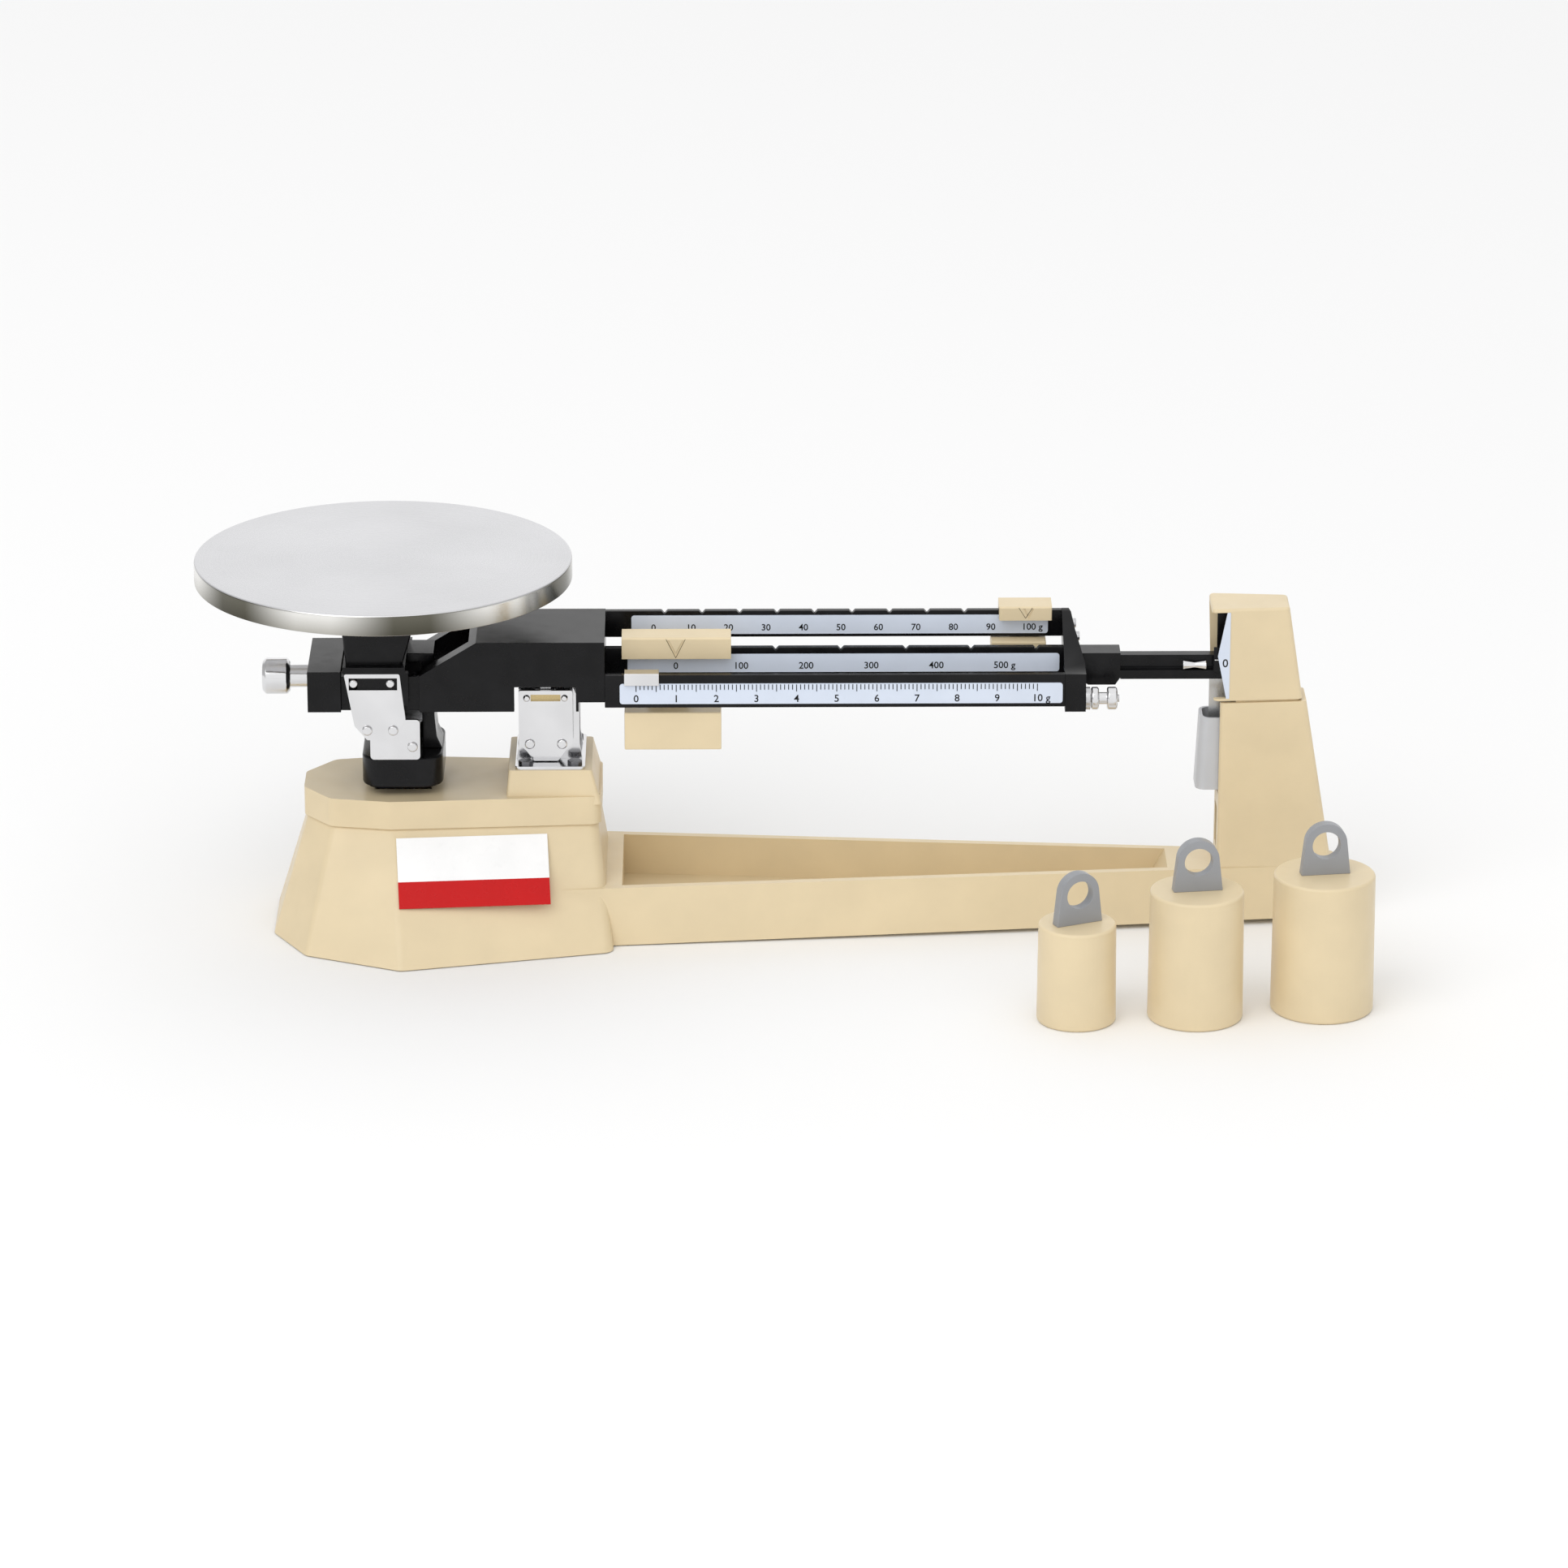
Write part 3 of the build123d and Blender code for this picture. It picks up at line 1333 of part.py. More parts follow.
def make_rear_cap():
    """Painted cap of the rear poise."""
    x0 = rear_cap_left_x
    x1 = x0 + rear_cap_length
    cap = block(x0, x1, rear_cap_front_y, rear_cap_rear_y, rear_cap_low_z, rear_cap_high_z)
    slot_front = rear_rail_y - plate_thickness - fit_gap
    slot_rear = rear_rail_y + rail_thickness + fit_gap
    cap -= block(x0 - 1, x1 + 1, slot_front, slot_rear, rear_cap_low_z - 1, rear_rail_top_z + fit_gap)
    cap = chamfer(cap.edges().filter_by(Axis.X).group_by(Axis.Z)[-1], 0.6)
    mark_x = rear_zero_x + rear_division * rear_divisions
    return cap - vee_mark(mark_x, rear_cap_front_y, rear_cap_low_z, rear_cap_high_z)


def make_rear_block():
    """Small block under the rear rail with the strap that joins it to its cap."""
    x0 = rear_block_left_x
    piece = block(x0, x0 + rear_block_length, rear_block_front_y, rear_block_rear_y, rear_block_low_z,
                  rear_block_high_z)
    y0 = rear_rail_y + rail_thickness + 2 * fit_gap
    middle = rear_cap_left_x + rear_cap_length / 2
    half = rear_strap_length / 2
    strap = block(middle - half, middle + half, y0, y0 + strap_thickness, rear_block_high_z, rear_cap_low_z)
    return fillet(piece.edges().filter_by(Axis.X), 0.6) + strap


def make_weight(size):
    """Loose weight: a cylinder that widens a little towards its foot."""
    x, y, radius, height, turn = size
    body = Pos(x, y, height / 2) * Cone(radius + weight_draft, radius, height)
    rims = body.edges().filter_by(GeomType.CIRCLE)
    return fillet(rims, weight_edge)


def make_loop(size):
    """Cast loop on top of a weight, with a round hole for the pin."""
    x, y, radius, height, turn = size
    centre_z = loop_height - loop_radius
    foot = Line((-loop_base / 2, 0), (loop_base / 2, 0))
    crown = Pos(0, centre_z) * CenterArc((0, 0), loop_radius, 0, 180)
    outline = make_hull(foot.edges() + crown.edges())
    hole = Pos(0, centre_z - 0.6) * Circle(loop_hole_radius)
    face = outline - hole
    plate = extrude(Plane.XZ * face, amount=loop_thickness / 2, both=True)
    return Pos(x, y, height) * Rot(0, 0, turn) * plate


def all_pieces():
    """Every node with its solid or group of solids."""
    front = (front_rail_y, front_plate_left_x, front_plate_right_x, front_plate_low_z, front_plate_high_z)
    centre = (centre_rail_y, centre_plate_left_x, centre_plate_right_x, centre_plate_low_z, centre_plate_high_z)
    rear = (rear_rail_y, rear_plate_left_x, rear_plate_right_x, rear_plate_low_z, rear_plate_high_z)
    return {
        "base_casting": make_base(),
        "base_feet": make_feet(),
        "base_screws": make_base_screws(),
        "label_panel": make_label(),
        "tower_body": make_tower_body(),
        "tower_hood": make_hood(),
        "tower_liner": make_liner(),
        "index_plate": make_index_plate(),
        "damper_cup": make_damper_cup(),
        "damper_magnets": make_magnets(),
        "damper_shelf": make_cup_bracket(),
        "fulcrum_stand": make_stand(),
        "stand_bolts": make_stand_bolts(),
        "fulcrum_bearings": make_fulcrum_bearings(),
        "fulcrum_end_plates": make_thrust_plates(),
        "fulcrum_covers": make_stand_covers(),
        "fulcrum_cover_screws": make_stand_screws(),
        "link_base_pin": make_link_pin(base_pivot),
        "beam_casting": make_beam(),
        "fulcrum_knife": fulcrum_knife_solid(0),
        "pan_knives": make_pan_knives(),
        "front_rail": make_front_rail(),
        "centre_rail": make_centre_rail(),
        "rear_rail": make_rear_rail(),
        "front_scale_plate": make_scale_plate(*front),
        "centre_scale_plate": make_scale_plate(*centre),
        "rear_scale_plate": make_scale_plate(*rear),
        "rail_end_frame": make_end_frame(),
        "end_frame_screws": make_frame_screws(),
        "pointer_arm": make_pointer_arm(),
        "pointer": make_pointer(),
        "weight_pin": make_weight_pin(),
        "damper_vane": make_vane(),
        "calibration_stud": make_stud(),
        "calibration_nut": make_calibration_nut(),
        "zero_knob": make_zero_knob(),
        "zero_weight": make_zero_weight(),
        "pan_saddle": make_saddle(),
        "hanger_covers": make_hanger_covers(),
        "hanger_bearings": make_hanger_bearings(),
        "hanger_screws": make_hanger_screws(),
        "hanger_bracket": make_hanger_bracket(),
        "hanger_post": make_hanger_post(),
        "hanger_foot": make_hanger_foot(),
        "hanger_stem": make_hanger_stem(),
        "link_stem_pin": make_link_pin(stem_pivot),
        "check_link": make_check_link(),
        "pan": make_pan(),
        "pan_socket": make_pan_socket(),
        "front_poise": make_front_poise(),
        "centre_poise_cap": make_centre_cap(),
        "centre_poise_block": [make_centre_strap(), make_centre_block()],
        "rear_poise_cap": make_rear_cap(),
        "rear_poise_block": make_rear_block(),
        "small_weight": make_weight(small_weight),
        "small_weight_loop": make_loop(small_weight),
        "middle_weight": make_weight(middle_weight),
        "middle_weight_loop": make_loop(middle_weight),
        "large_weight": make_weight(large_weight),
        "large_weight_loop": make_loop(large_weight),
    }


def shape_of(piece):
    """One shape for a node, whether it is one solid or a group."""
    if isinstance(piece, list):
        solids = [solid for item in piece for solid in item.solids()]
        return Compound(solids)
    return piece


def origin_shift(shapes):
    """Move that puts the origin under the middle of the whole set."""
    boxes = [shape.bounding_box() for shape in shapes.values()]
    middle_x = (min(box.min.X for box in boxes) + max(box.max.X for box in boxes)) / 2
    middle_y = (min(box.min.Y for box in boxes) + max(box.max.Y for box in boxes)) / 2
    return (-middle_x, -middle_y, 0)


def main():
    """Build every piece and write one file for each."""
    shapes = {name: shape_of(piece) for name, piece in all_pieces().items()}
    shift = origin_shift(shapes)
    os.makedirs("parts", exist_ok=True)
    for name, shape in shapes.items():
        export_step(Pos(*shift) * shape, os.path.join("parts", name + ".step"))
    return shapes, shift


if __name__ == "__main__":
    main()
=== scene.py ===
import json
import math
import bmesh
import bpy
from mathutils import Matrix, Vector

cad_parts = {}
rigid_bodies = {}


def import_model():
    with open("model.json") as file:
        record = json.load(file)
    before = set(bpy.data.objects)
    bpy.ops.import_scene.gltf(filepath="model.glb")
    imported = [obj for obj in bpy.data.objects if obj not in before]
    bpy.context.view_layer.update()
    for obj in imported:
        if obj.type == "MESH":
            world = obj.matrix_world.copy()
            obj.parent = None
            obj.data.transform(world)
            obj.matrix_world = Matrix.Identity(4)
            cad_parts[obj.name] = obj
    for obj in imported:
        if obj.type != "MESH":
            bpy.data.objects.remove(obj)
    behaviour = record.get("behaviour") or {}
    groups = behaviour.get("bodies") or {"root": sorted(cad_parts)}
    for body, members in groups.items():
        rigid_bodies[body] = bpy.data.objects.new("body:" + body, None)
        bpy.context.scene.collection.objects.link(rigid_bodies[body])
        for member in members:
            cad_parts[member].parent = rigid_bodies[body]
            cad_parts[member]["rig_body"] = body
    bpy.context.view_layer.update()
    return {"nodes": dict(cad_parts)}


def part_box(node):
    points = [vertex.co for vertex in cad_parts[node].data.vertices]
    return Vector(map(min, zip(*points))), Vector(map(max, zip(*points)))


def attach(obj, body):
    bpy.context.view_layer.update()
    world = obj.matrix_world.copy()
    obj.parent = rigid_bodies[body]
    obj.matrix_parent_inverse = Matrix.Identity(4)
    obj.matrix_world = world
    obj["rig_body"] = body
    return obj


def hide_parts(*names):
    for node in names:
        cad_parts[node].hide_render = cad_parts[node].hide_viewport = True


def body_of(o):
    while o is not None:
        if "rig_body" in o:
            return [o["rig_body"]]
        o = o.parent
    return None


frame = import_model()

MM = 0.001

# Camera, at the photograph's viewing angle
CAMERA_ELEVATION = math.radians(19.6)
CAMERA_YAW = math.radians(0.5)
CAMERA_DISTANCE = 3.0
CAMERA_LENS = 169.38
CAMERA_AIM = Vector((0.0962, 0.0, -0.042))
SENSOR_WIDTH = 36.0
NEAREST_SEEN = 0.05
FURTHEST_SEEN = 100.0

# Light
WORLD_STRENGTH = 1.06
KEY_POWER = 34.0
KEY_SIZE = 2.6
KEY_FROM = Vector((-1.3, -2.0, 2.5))
FLOOR_SIZE = 40.0
FLOOR_BRIGHTNESS = 0.93
FLOOR_ROUGHNESS = 0.9

# Brightness of the studio from left (0) to right (1): its two ends, and (place, brightness) between them
WORLD_LEFT = 0.55
WORLD_RIGHT = 0.62
WORLD_BANDS = ((0.14, 0.46), (0.24, 0.95), (0.62, 1.05), (0.80, 0.88), (0.88, 0.46))

# Finishes: how strongly each coat reflects, and how fine the metal's grain and the pan's rings are
ENAMEL_IOR = 1.42
BLACK_IOR = 1.29
PRINT_IOR = 1.3
METAL_GRAIN = 900.0
PAN_RINGS = 2200.0

# Rounding of the visible edges
BIG_ROUND = 0.9 * MM
MIDDLE_ROUND = 0.45 * MM
SMALL_ROUND = 0.22 * MM
FINE_ROUND = 0.1 * MM
EDGE_STEPS = 2
CORNER_STEPS = 5

# Meshes: points nearer than WELD are one, edges flatter than FLAT_ANGLE are taken out, and edges
# sharper than ROUNDED_ANGLE are rounded if they are longer than SHORTEST_EDGE. An edge runs along
# an axis if this much of its direction does
WELD = 0.002 * MM
FLAT_ANGLE = math.radians(0.6)
ROUNDED_ANGLE = math.radians(28)
SHORTEST_EDGE = 0.05 * MM
ALONG_AXIS = 0.99

# Shading: faces that meet at more than this angle keep a sharp edge between them
SMOOTH_ANGLE = math.radians(32)
NORMAL_WEIGHT = 80

# Printing: thickness, how far it is sunk into its plate, boldness, and a digit's share of the font's size
PRINT_DEPTH = 0.06 * MM
PRINT_SUNK = 0.01 * MM
NUMBER_WEIGHT = 0.045 * MM
DIGIT_SHARE = 0.70

# Label: the share of its height that is red
LABEL_RED_SHARE = 0.385

# Pan: sheet, rounding of its edge and of its lip, and steps of the turning
PAN_SHEET = 1.5 * MM
PAN_ROUND = 1.0 * MM
LIP_ROUND = 0.3 * MM
PAN_STEPS = 192

# Painted reflections round the pan's rim, as soft bands: how many, how many degrees a dark one is turned
# from the front towards +X, their colours, and the tint of the painted darker reflection at the lower edge
RIM_BANDS = 6.0
RIM_DARK_TURN = 11
RIM_PHASE = math.radians(RIM_BANDS * (90 - RIM_DARK_TURN) - 90)
RIM_REFLECTION_DARK = (0.13, 0.125, 0.10)
RIM_REFLECTION_BRIGHT = (0.80, 0.79, 0.76)
RIM_LOW_DARK_REFLECTION = (0.55, 0.54, 0.51)

# Faces count as the rim beyond this share of the pan's radius, if they are steeper than this
RIM_REACH = 0.96
RIM_STEEPNESS = 0.6

# Scales: numbers, and their first place and step, measured along the beam from the knife edge
REAR_NUMBERS = [str(10 * i) for i in range(10)] + ["100 g"]
CENTRE_NUMBERS = [str(100 * i) for i in range(5)] + ["500 g"]
FRONT_NUMBERS = [str(i) for i in range(10)] + ["10 g"]
REAR_FIRST = 43.4 * MM
REAR_STEP = 15.21 * MM
CENTRE_FIRST = 52.5 * MM
CENTRE_STEP = 26.3 * MM
FRONT_FIRST = 36.6 * MM
FRONT_STEP = 16.12 * MM
TICKS_PER_STEP = 10

# Height of the numbers, their level as a share of the plate's height, and the shift of the last, wider one
REAR_HEIGHT = 2.7 * MM
REAR_LEVEL = 0.34
REAR_LAST_SHIFT = 1.6 * MM
CENTRE_HEIGHT = 2.8 * MM
CENTRE_LEVEL = 0.35
CENTRE_LAST_SHIFT = 1.2 * MM
FRONT_HEIGHT = 3.0 * MM
FRONT_LEVEL = 0.25
FRONT_LAST_SHIFT = 1.6 * MM

# Division marks of the front scale
LONG_TICK = 3.0 * MM
SHORT_TICK = 2.2 * MM
LONG_TICK_EVERY = 5
TICK_HALF = 0.17 * MM
TICK_TOP_GAP = 0.35 * MM

# Zero of the index plate: height over the knife edge, place across the plate, size and boldness
INDEX_LEVEL = 12.9 * MM
INDEX_PLACE = 0.62
INDEX_HEIGHT = 3.4 * MM
INDEX_WEIGHT = 0.04 * MM

# White line on the pointer: distance from the pointer's ends, and half its width
POINTER_LINE_START = 0.4 * MM
POINTER_LINE_END = 0.2 * MM
POINTER_LINE_HALF = 0.16 * MM

# V marks of the poises, whose strokes are painted shade of the engraved V: half their width, distance from
# the cap's top and foot, and the strokes' size
CENTRE_VEE_HALF = 3.9 * MM
CENTRE_VEE_TOP = 0.5 * MM
CENTRE_VEE_TIP = 0.6 * MM
REAR_VEE_HALF = 2.7 * MM
REAR_VEE_TOP = 0.4 * MM
REAR_VEE_TIP = 1.0 * MM
VEE_STROKE_HALF = 0.11 * MM
VEE_PROUD = 0.04 * MM
VEE_SUNK = 0.02 * MM

knife_low, knife_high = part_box("fulcrum_knife")
FULCRUM = Vector(((knife_low.x + knife_high.x) / 2, (knife_low.y + knife_high.y) / 2, knife_low.z))


def new_material(name):
    """Empty node material with its shader and output."""
    material = bpy.data.materials.new(name)
    material.use_nodes = True
    tree = material.node_tree
    tree.nodes.clear()
    output = tree.nodes.new("ShaderNodeOutputMaterial")
    shader = tree.nodes.new("ShaderNodeBsdfPrincipled")
    tree.links.new(shader.outputs["BSDF"], output.inputs["Surface"])
    return material, tree, shader


def place_noise(tree, scale, detail=3.0, roughness=0.5, stretch=(1, 1, 1)):
    """Noise in the object's own coordinates; stretch squeezes it along an axis."""
    place = tree.nodes.new("ShaderNodeTexCoord")
    mapping = tree.nodes.new("ShaderNodeMapping")
    mapping.inputs["Scale"].default_value = stretch
    noise = tree.nodes.new("ShaderNodeTexNoise")
    noise.inputs["Scale"].default_value = scale
    noise.inputs["Detail"].default_value = detail
    noise.inputs["Roughness"].default_value = roughness
    tree.links.new(place.outputs["Object"], mapping.inputs["Vector"])
    tree.links.new(mapping.outputs["Vector"], noise.inputs["Vector"])
    return noise.outputs["Fac"]


def ramp(tree, value, low, high, start=0.3, end=0.7):
    """Value spread between two colours."""
    node = tree.nodes.new("ShaderNodeValToRGB")
    node.color_ramp.elements[0].position = start
    node.color_ramp.elements[1].position = end
    node.color_ramp.elements[0].color = (*low, 1)
    node.color_ramp.elements[1].color = (*high, 1)
    tree.links.new(value, node.inputs["Fac"])
    return node.outputs["Color"]


def spread(tree, value, low, high, from_low=0.3, from_high=0.7):
    """Value mapped from one range of numbers, by default that of noise, onto another."""
    node = tree.nodes.new("ShaderNodeMapRange")
    node.inputs["From Min"].default_value = from_low
    node.inputs["From Max"].default_value = from_high
    node.inputs["To Min"].default_value = low
    node.inputs["To Max"].default_value = high
    tree.links.new(value, node.inputs["Value"])
    return node.outputs["Result"]


def colour_from(tree, shader, value, low, high):
    """Base colour that follows a value between two colours."""
    tree.links.new(ramp(tree, value, low, high), shader.inputs["Base Color"])


def rough_from(tree, shader, value, low, high):
    """Roughness that follows a value between two numbers."""
    tree.links.new(spread(tree, value, low, high), shader.inputs["Roughness"])


def vector_node(tree, operation, vector, operand=None):
    """Vector arithmetic of one kind, with a fixed second operand where it takes one."""
    node = tree.nodes.new("ShaderNodeVectorMath")
    node.operation = operation
    tree.links.new(vector, node.inputs[0])
    if operand is not None:
        node.inputs[1].default_value = operand
    return node


def bump(tree, shader, value, depth, strength=0.3):
    """Surface relief of that depth."""
    node = tree.nodes.new("ShaderNodeBump")
    node.inputs["Strength"].default_value = strength
    node.inputs["Distance"].default_value = depth
    tree.links.new(value, node.inputs["Height"])
    tree.links.new(node.outputs["Normal"], shader.inputs["Normal"])


def shade(rgb, factor):
    """A colour made lighter or darker."""
    return tuple(min(1.0, part * factor) for part in rgb)


def grey(value):
    """Opaque grey of that brightness."""
    return (value, value, value, 1)


def linear(red, green, blue):
    """Linear colour of an 8-bit screen colour."""
    return tuple(((part / 255 + 0.055) / 1.055) ** 2.4 for part in (red, green, blue))


def enamel(name, rgb, gloss, peel):
    """Sprayed enamel: mottled tone, orange peel and uneven gloss."""
    material, tree, shader = new_material(name)
    tone = place_noise(tree, scale=45.0, detail=4.0)
    colour_from(tree, shader, tone, low=shade(rgb, 0.965), high=shade(rgb, 1.035))
    rough_from(tree, shader, place_noise(tree, scale=160.0), low=gloss - 0.04, high=gloss + 0.06)
    shader.inputs["IOR"].default_value = ENAMEL_IOR
    bump(tree, shader, place_noise(tree, scale=650.0, detail=2.0), depth=peel, strength=0.22)
    return material


def black_enamel(name):
    """Gloss black casting paint with a fine grain."""
    material, tree, shader = new_material(name)
    tone = place_noise(tree, scale=90.0, detail=5.0)
    colour_from(tree, shader, tone, low=(0.0035, 0.0035, 0.004), high=(0.008, 0.008, 0.009))
    rough_from(tree, shader, place_noise(tree, scale=220.0), low=0.16, high=0.26)
    shader.inputs["IOR"].default_value = BLACK_IOR
    bump(tree, shader, place_noise(tree, scale=900.0, detail=2.0), depth=0.05 * MM, strength=0.18)
    return material


def metal(name, rgb, low, high, stretch):
    """Metal with grain along one direction."""
    material, tree, shader = new_material(name)
    grain = place_noise(tree, METAL_GRAIN, detail=4.0, roughness=0.6, stretch=stretch)
    patch = place_noise(tree, scale=60.0, detail=3.0)
    colour_from(tree, shader, patch, low=shade(rgb, 0.94), high=shade(rgb, 1.04))
    rough_from(tree, shader, grain, low, high)
    shader.inputs["Metallic"].default_value = 1.0
    bump(tree, shader, grain, depth=0.02 * MM, strength=0.16)
    return material


def turned_metal(name, rgb, low, high, centre):
    """Spun sheet: fine rings round the middle of the pan."""
    material, tree, shader = new_material(name)
    place = tree.nodes.new("ShaderNodeTexCoord")
    moved = vector_node(tree, "SUBTRACT", place.outputs["Object"], (centre.x, centre.y, centre.z))
    flat = vector_node(tree, "MULTIPLY", moved.outputs["Vector"], (1, 1, 0))
    length = vector_node(tree, "LENGTH", flat.outputs["Vector"])
    rings = tree.nodes.new("ShaderNodeTexNoise")
    rings.noise_dimensions = "1D"
    rings.inputs["Scale"].default_value = PAN_RINGS
    rings.inputs["Detail"].default_value = 3.0
    tree.links.new(length.outputs["Value"], rings.inputs["W"])
    patch = place_noise(tree, scale=25.0, detail=3.0)
    colour_from(tree, shader, patch, low=shade(rgb, 0.96), high=shade(rgb, 1.03))
    rough_from(tree, shader, rings.outputs["Fac"], low, high)
    shader.inputs["Metallic"].default_value = 1.0
    bump(tree, shader, rings.outputs["Fac"], depth=0.015 * MM, strength=0.12)
    return material


def rim_bands(tree, parts):
    """Value that rises and falls smoothly round the rim, once for each band."""
    turn = tree.nodes.new("ShaderNodeMath")
    turn.operation = "ARCTAN2"
    tree.links.new(parts.outputs["Y"], turn.inputs[0])
    tree.links.new(parts.outputs["X"], turn.inputs[1])
    phase = tree.nodes.new("ShaderNodeMath")
    phase.operation = "MULTIPLY_ADD"
    phase.inputs[1].default_value = RIM_BANDS
    phase.inputs[2].default_value = RIM_PHASE
    tree.links.new(turn.outputs["Value"], phase.inputs[0])
    wave = tree.nodes.new("ShaderNodeMath")
    wave.operation = "SINE"
    tree.links.new(phase.outputs["Value"], wave.inputs[0])
    return spread(tree, wave.outputs["Value"], 0.0, 1.0, from_low=-1.0, from_high=1.0)


def rolled_edge(name, middle, low_z, high_z):
    """Rolled rim of the pan: soft bands of painted reflection, and a painted darker reflection towards the
    lower edge.
    """
    material, tree, shader = new_material(name)
    place = tree.nodes.new("ShaderNodeTexCoord")
    moved = vector_node(tree, "SUBTRACT", place.outputs["Object"], (middle.x, middle.y, 0))
    parts = tree.nodes.new("ShaderNodeSeparateXYZ")
    tree.links.new(moved.outputs["Vector"], parts.inputs["Vector"])
    # Painted reflections: dark and bright bands round the rim
    painted_reflections = ramp(tree, rim_bands(tree, parts), RIM_REFLECTION_DARK, RIM_REFLECTION_BRIGHT, start=0.08, end=0.92)
    # Painted darker reflection towards the rim's lower edge, multiplied into the bands
    height = spread(tree, parts.outputs["Z"], 0.0, 1.0, from_low=low_z, from_high=high_z)
    level = ramp(tree, height, RIM_LOW_DARK_REFLECTION, (1.0, 1.0, 1.0), start=0.0, end=0.8)
    mix = tree.nodes.new("ShaderNodeMix")
    mix.data_type = "RGBA"
    mix.blend_type = "MULTIPLY"
    mix.inputs["Factor"].default_value = 1.0
    tree.links.new(painted_reflections, mix.inputs["A"])
    tree.links.new(level, mix.inputs["B"])
    tree.links.new(mix.outputs["Result"], shader.inputs["Base Color"])
    grain = place_noise(tree, METAL_GRAIN, detail=4.0, roughness=0.6, stretch=(1, 1, 8))
    rough_from(tree, shader, grain, low=0.14, high=0.26)
    shader.inputs["Metallic"].default_value = 1.0
    bump(tree, shader, grain, depth=0.02 * MM, strength=0.14)
    return material


def rubber(name):
    """Moulded black rubber."""
    material, tree, shader = new_material(name)
    tone = place_noise(tree, scale=120.0, detail=4.0)
    colour_from(tree, shader, tone, low=(0.010, 0.010, 0.010), high=(0.022, 0.021, 0.020))
    rough_from(tree, shader, tone, low=0.6, high=0.8)
    bump(tree, shader, place_noise(tree, scale=1500.0), depth=0.05 * MM, strength=0.3)
    return material


def printed(name, rgb, gloss):
    """Printed or sprayed sheet with slight unevenness."""
    material, tree, shader = new_material(name)
    tone = place_noise(tree, scale=70.0, detail=4.0)
    colour_from(tree, shader, tone, low=shade(rgb, 0.97), high=shade(rgb, 1.02))
    rough_from(tree, shader, place_noise(tree, scale=300.0), low=gloss - 0.05, high=gloss + 0.08)
    shader.inputs["IOR"].default_value = PRINT_IOR
    bump(tree, shader, place_noise(tree, scale=1100.0, detail=2.0), depth=0.02 * MM, strength=0.15)
    return material


pan_low, pan_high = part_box("pan")
PAN_MIDDLE = (pan_low + pan_high) / 2

MATERIALS = {
    "beige_paint": enamel("beige_paint", linear(224, 206, 170), 0.34, 0.05 * MM),
    "grey_paint": enamel("grey_paint", linear(150, 152, 156), 0.36, 0.04 * MM),
    "cup_paint": enamel("cup_paint", linear(196, 198, 202), 0.32, 0.04 * MM),
    "black_paint": black_enamel("black_paint"),
    "scale_white": printed("scale_white", linear(214, 223, 238), 0.35),
    "label_white": printed("label_white", linear(250, 250, 250), 0.3),
    "label_red": printed("label_red", linear(198, 2, 6), 0.3),
    "print_black": printed("print_black", linear(24, 24, 26), 0.4),
    # Darkened beige: painted shade for the strokes of the poises' V marks
    "vee_painted_shade": printed("vee_painted_shade", linear(96, 84, 62), 0.5),
    "bright_chrome": metal("bright_chrome", (0.73, 0.73, 0.74), 0.10, 0.20, (1, 1, 6)),
    "pan_steel": turned_metal("pan_steel", (0.655, 0.655, 0.67), 0.22, 0.36, PAN_MIDDLE),
    "zinc_steel": metal("zinc_steel", (0.56, 0.56, 0.57), 0.18, 0.34, (1, 1, 1)),
    "dark_steel": metal("dark_steel", (0.16, 0.16, 0.17), 0.22, 0.36, (1, 1, 1)),
    "plain_brass": metal("plain_brass", (0.55, 0.43, 0.22), 0.18, 0.32, (1, 6, 1)),
    "plain_aluminium": metal("plain_aluminium", (0.62, 0.63, 0.64), 0.25, 0.4, (8, 1, 1)),
    "black_rubber": rubber("black_rubber"),
    # Rim of the pan: painted reflection bands and a painted darker lower edge
    "pan_edge_painted_reflections": rolled_edge("pan_edge_painted_reflections", PAN_MIDDLE, pan_low.z, pan_high.z),
}


def finish_piece(piece, node, material):
    """Give a new piece its material, its shading and its node's body."""
    piece.data.materials.clear()
    piece.data.materials.append(MATERIALS[material])
    for face in piece.data.polygons:
        face.material_index = 0
    piece.data.shade_smooth()
    piece.data.set_sharp_from_angle(angle=SMOOTH_ANGLE)
    normals = piece.modifiers.new("flat_faces", "WEIGHTED_NORMAL")
    normals.keep_sharp = True
    normals.weight = NORMAL_WEIGHT
    body = body_of(frame["nodes"][node])
    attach(piece, body[0])


def add_piece(name, mesh):
    """New object in the scene from a mesh."""
    piece = bpy.data.objects.new(name, mesh)
    bpy.context.scene.collection.objects.link(piece)
    return piece


def mesh_of(name, shape):
    """Mesh from a bmesh, which is then freed."""
    mesh = bpy.data.meshes.new(name)
    shape.to_mesh(mesh)
    shape.free()
    return mesh


def mesh_from(name, build):
    """Mesh from what build adds to an empty bmesh."""
    shape = bmesh.new()
    build(shape)
    return mesh_of(name, shape)


def merge_facets(shape):
    """Weld the points that meet, and take out the edges between flat facets."""
    bmesh.ops.remove_doubles(shape, verts=shape.verts, dist=WELD)
    bmesh.ops.dissolve_limit(
        shape, angle_limit=FLAT_ANGLE, use_dissolve_boundaries=False,
        verts=shape.verts, edges=shape.edges,
    )


def is_sharp(edge):
    """Whether two faces meet at this edge at an angle that shows."""
    return len(edge.link_faces) == 2 and edge.calc_face_angle(0) > ROUNDED_ANGLE


def round_edges(shape, width):
    """Merge flat facets, then round the sharp edges."""
    merge_facets(shape)
    sharp = [edge for edge in shape.edges if is_sharp(edge) and edge.calc_length() > SHORTEST_EDGE]
    if sharp:
        bmesh.ops.bevel(
            shape, geom=sharp, offset=width, offset_type="OFFSET", segments=EDGE_STEPS, profile=0.5,
            affect="EDGES", clamp_overlap=True, harden_normals=False,
        )


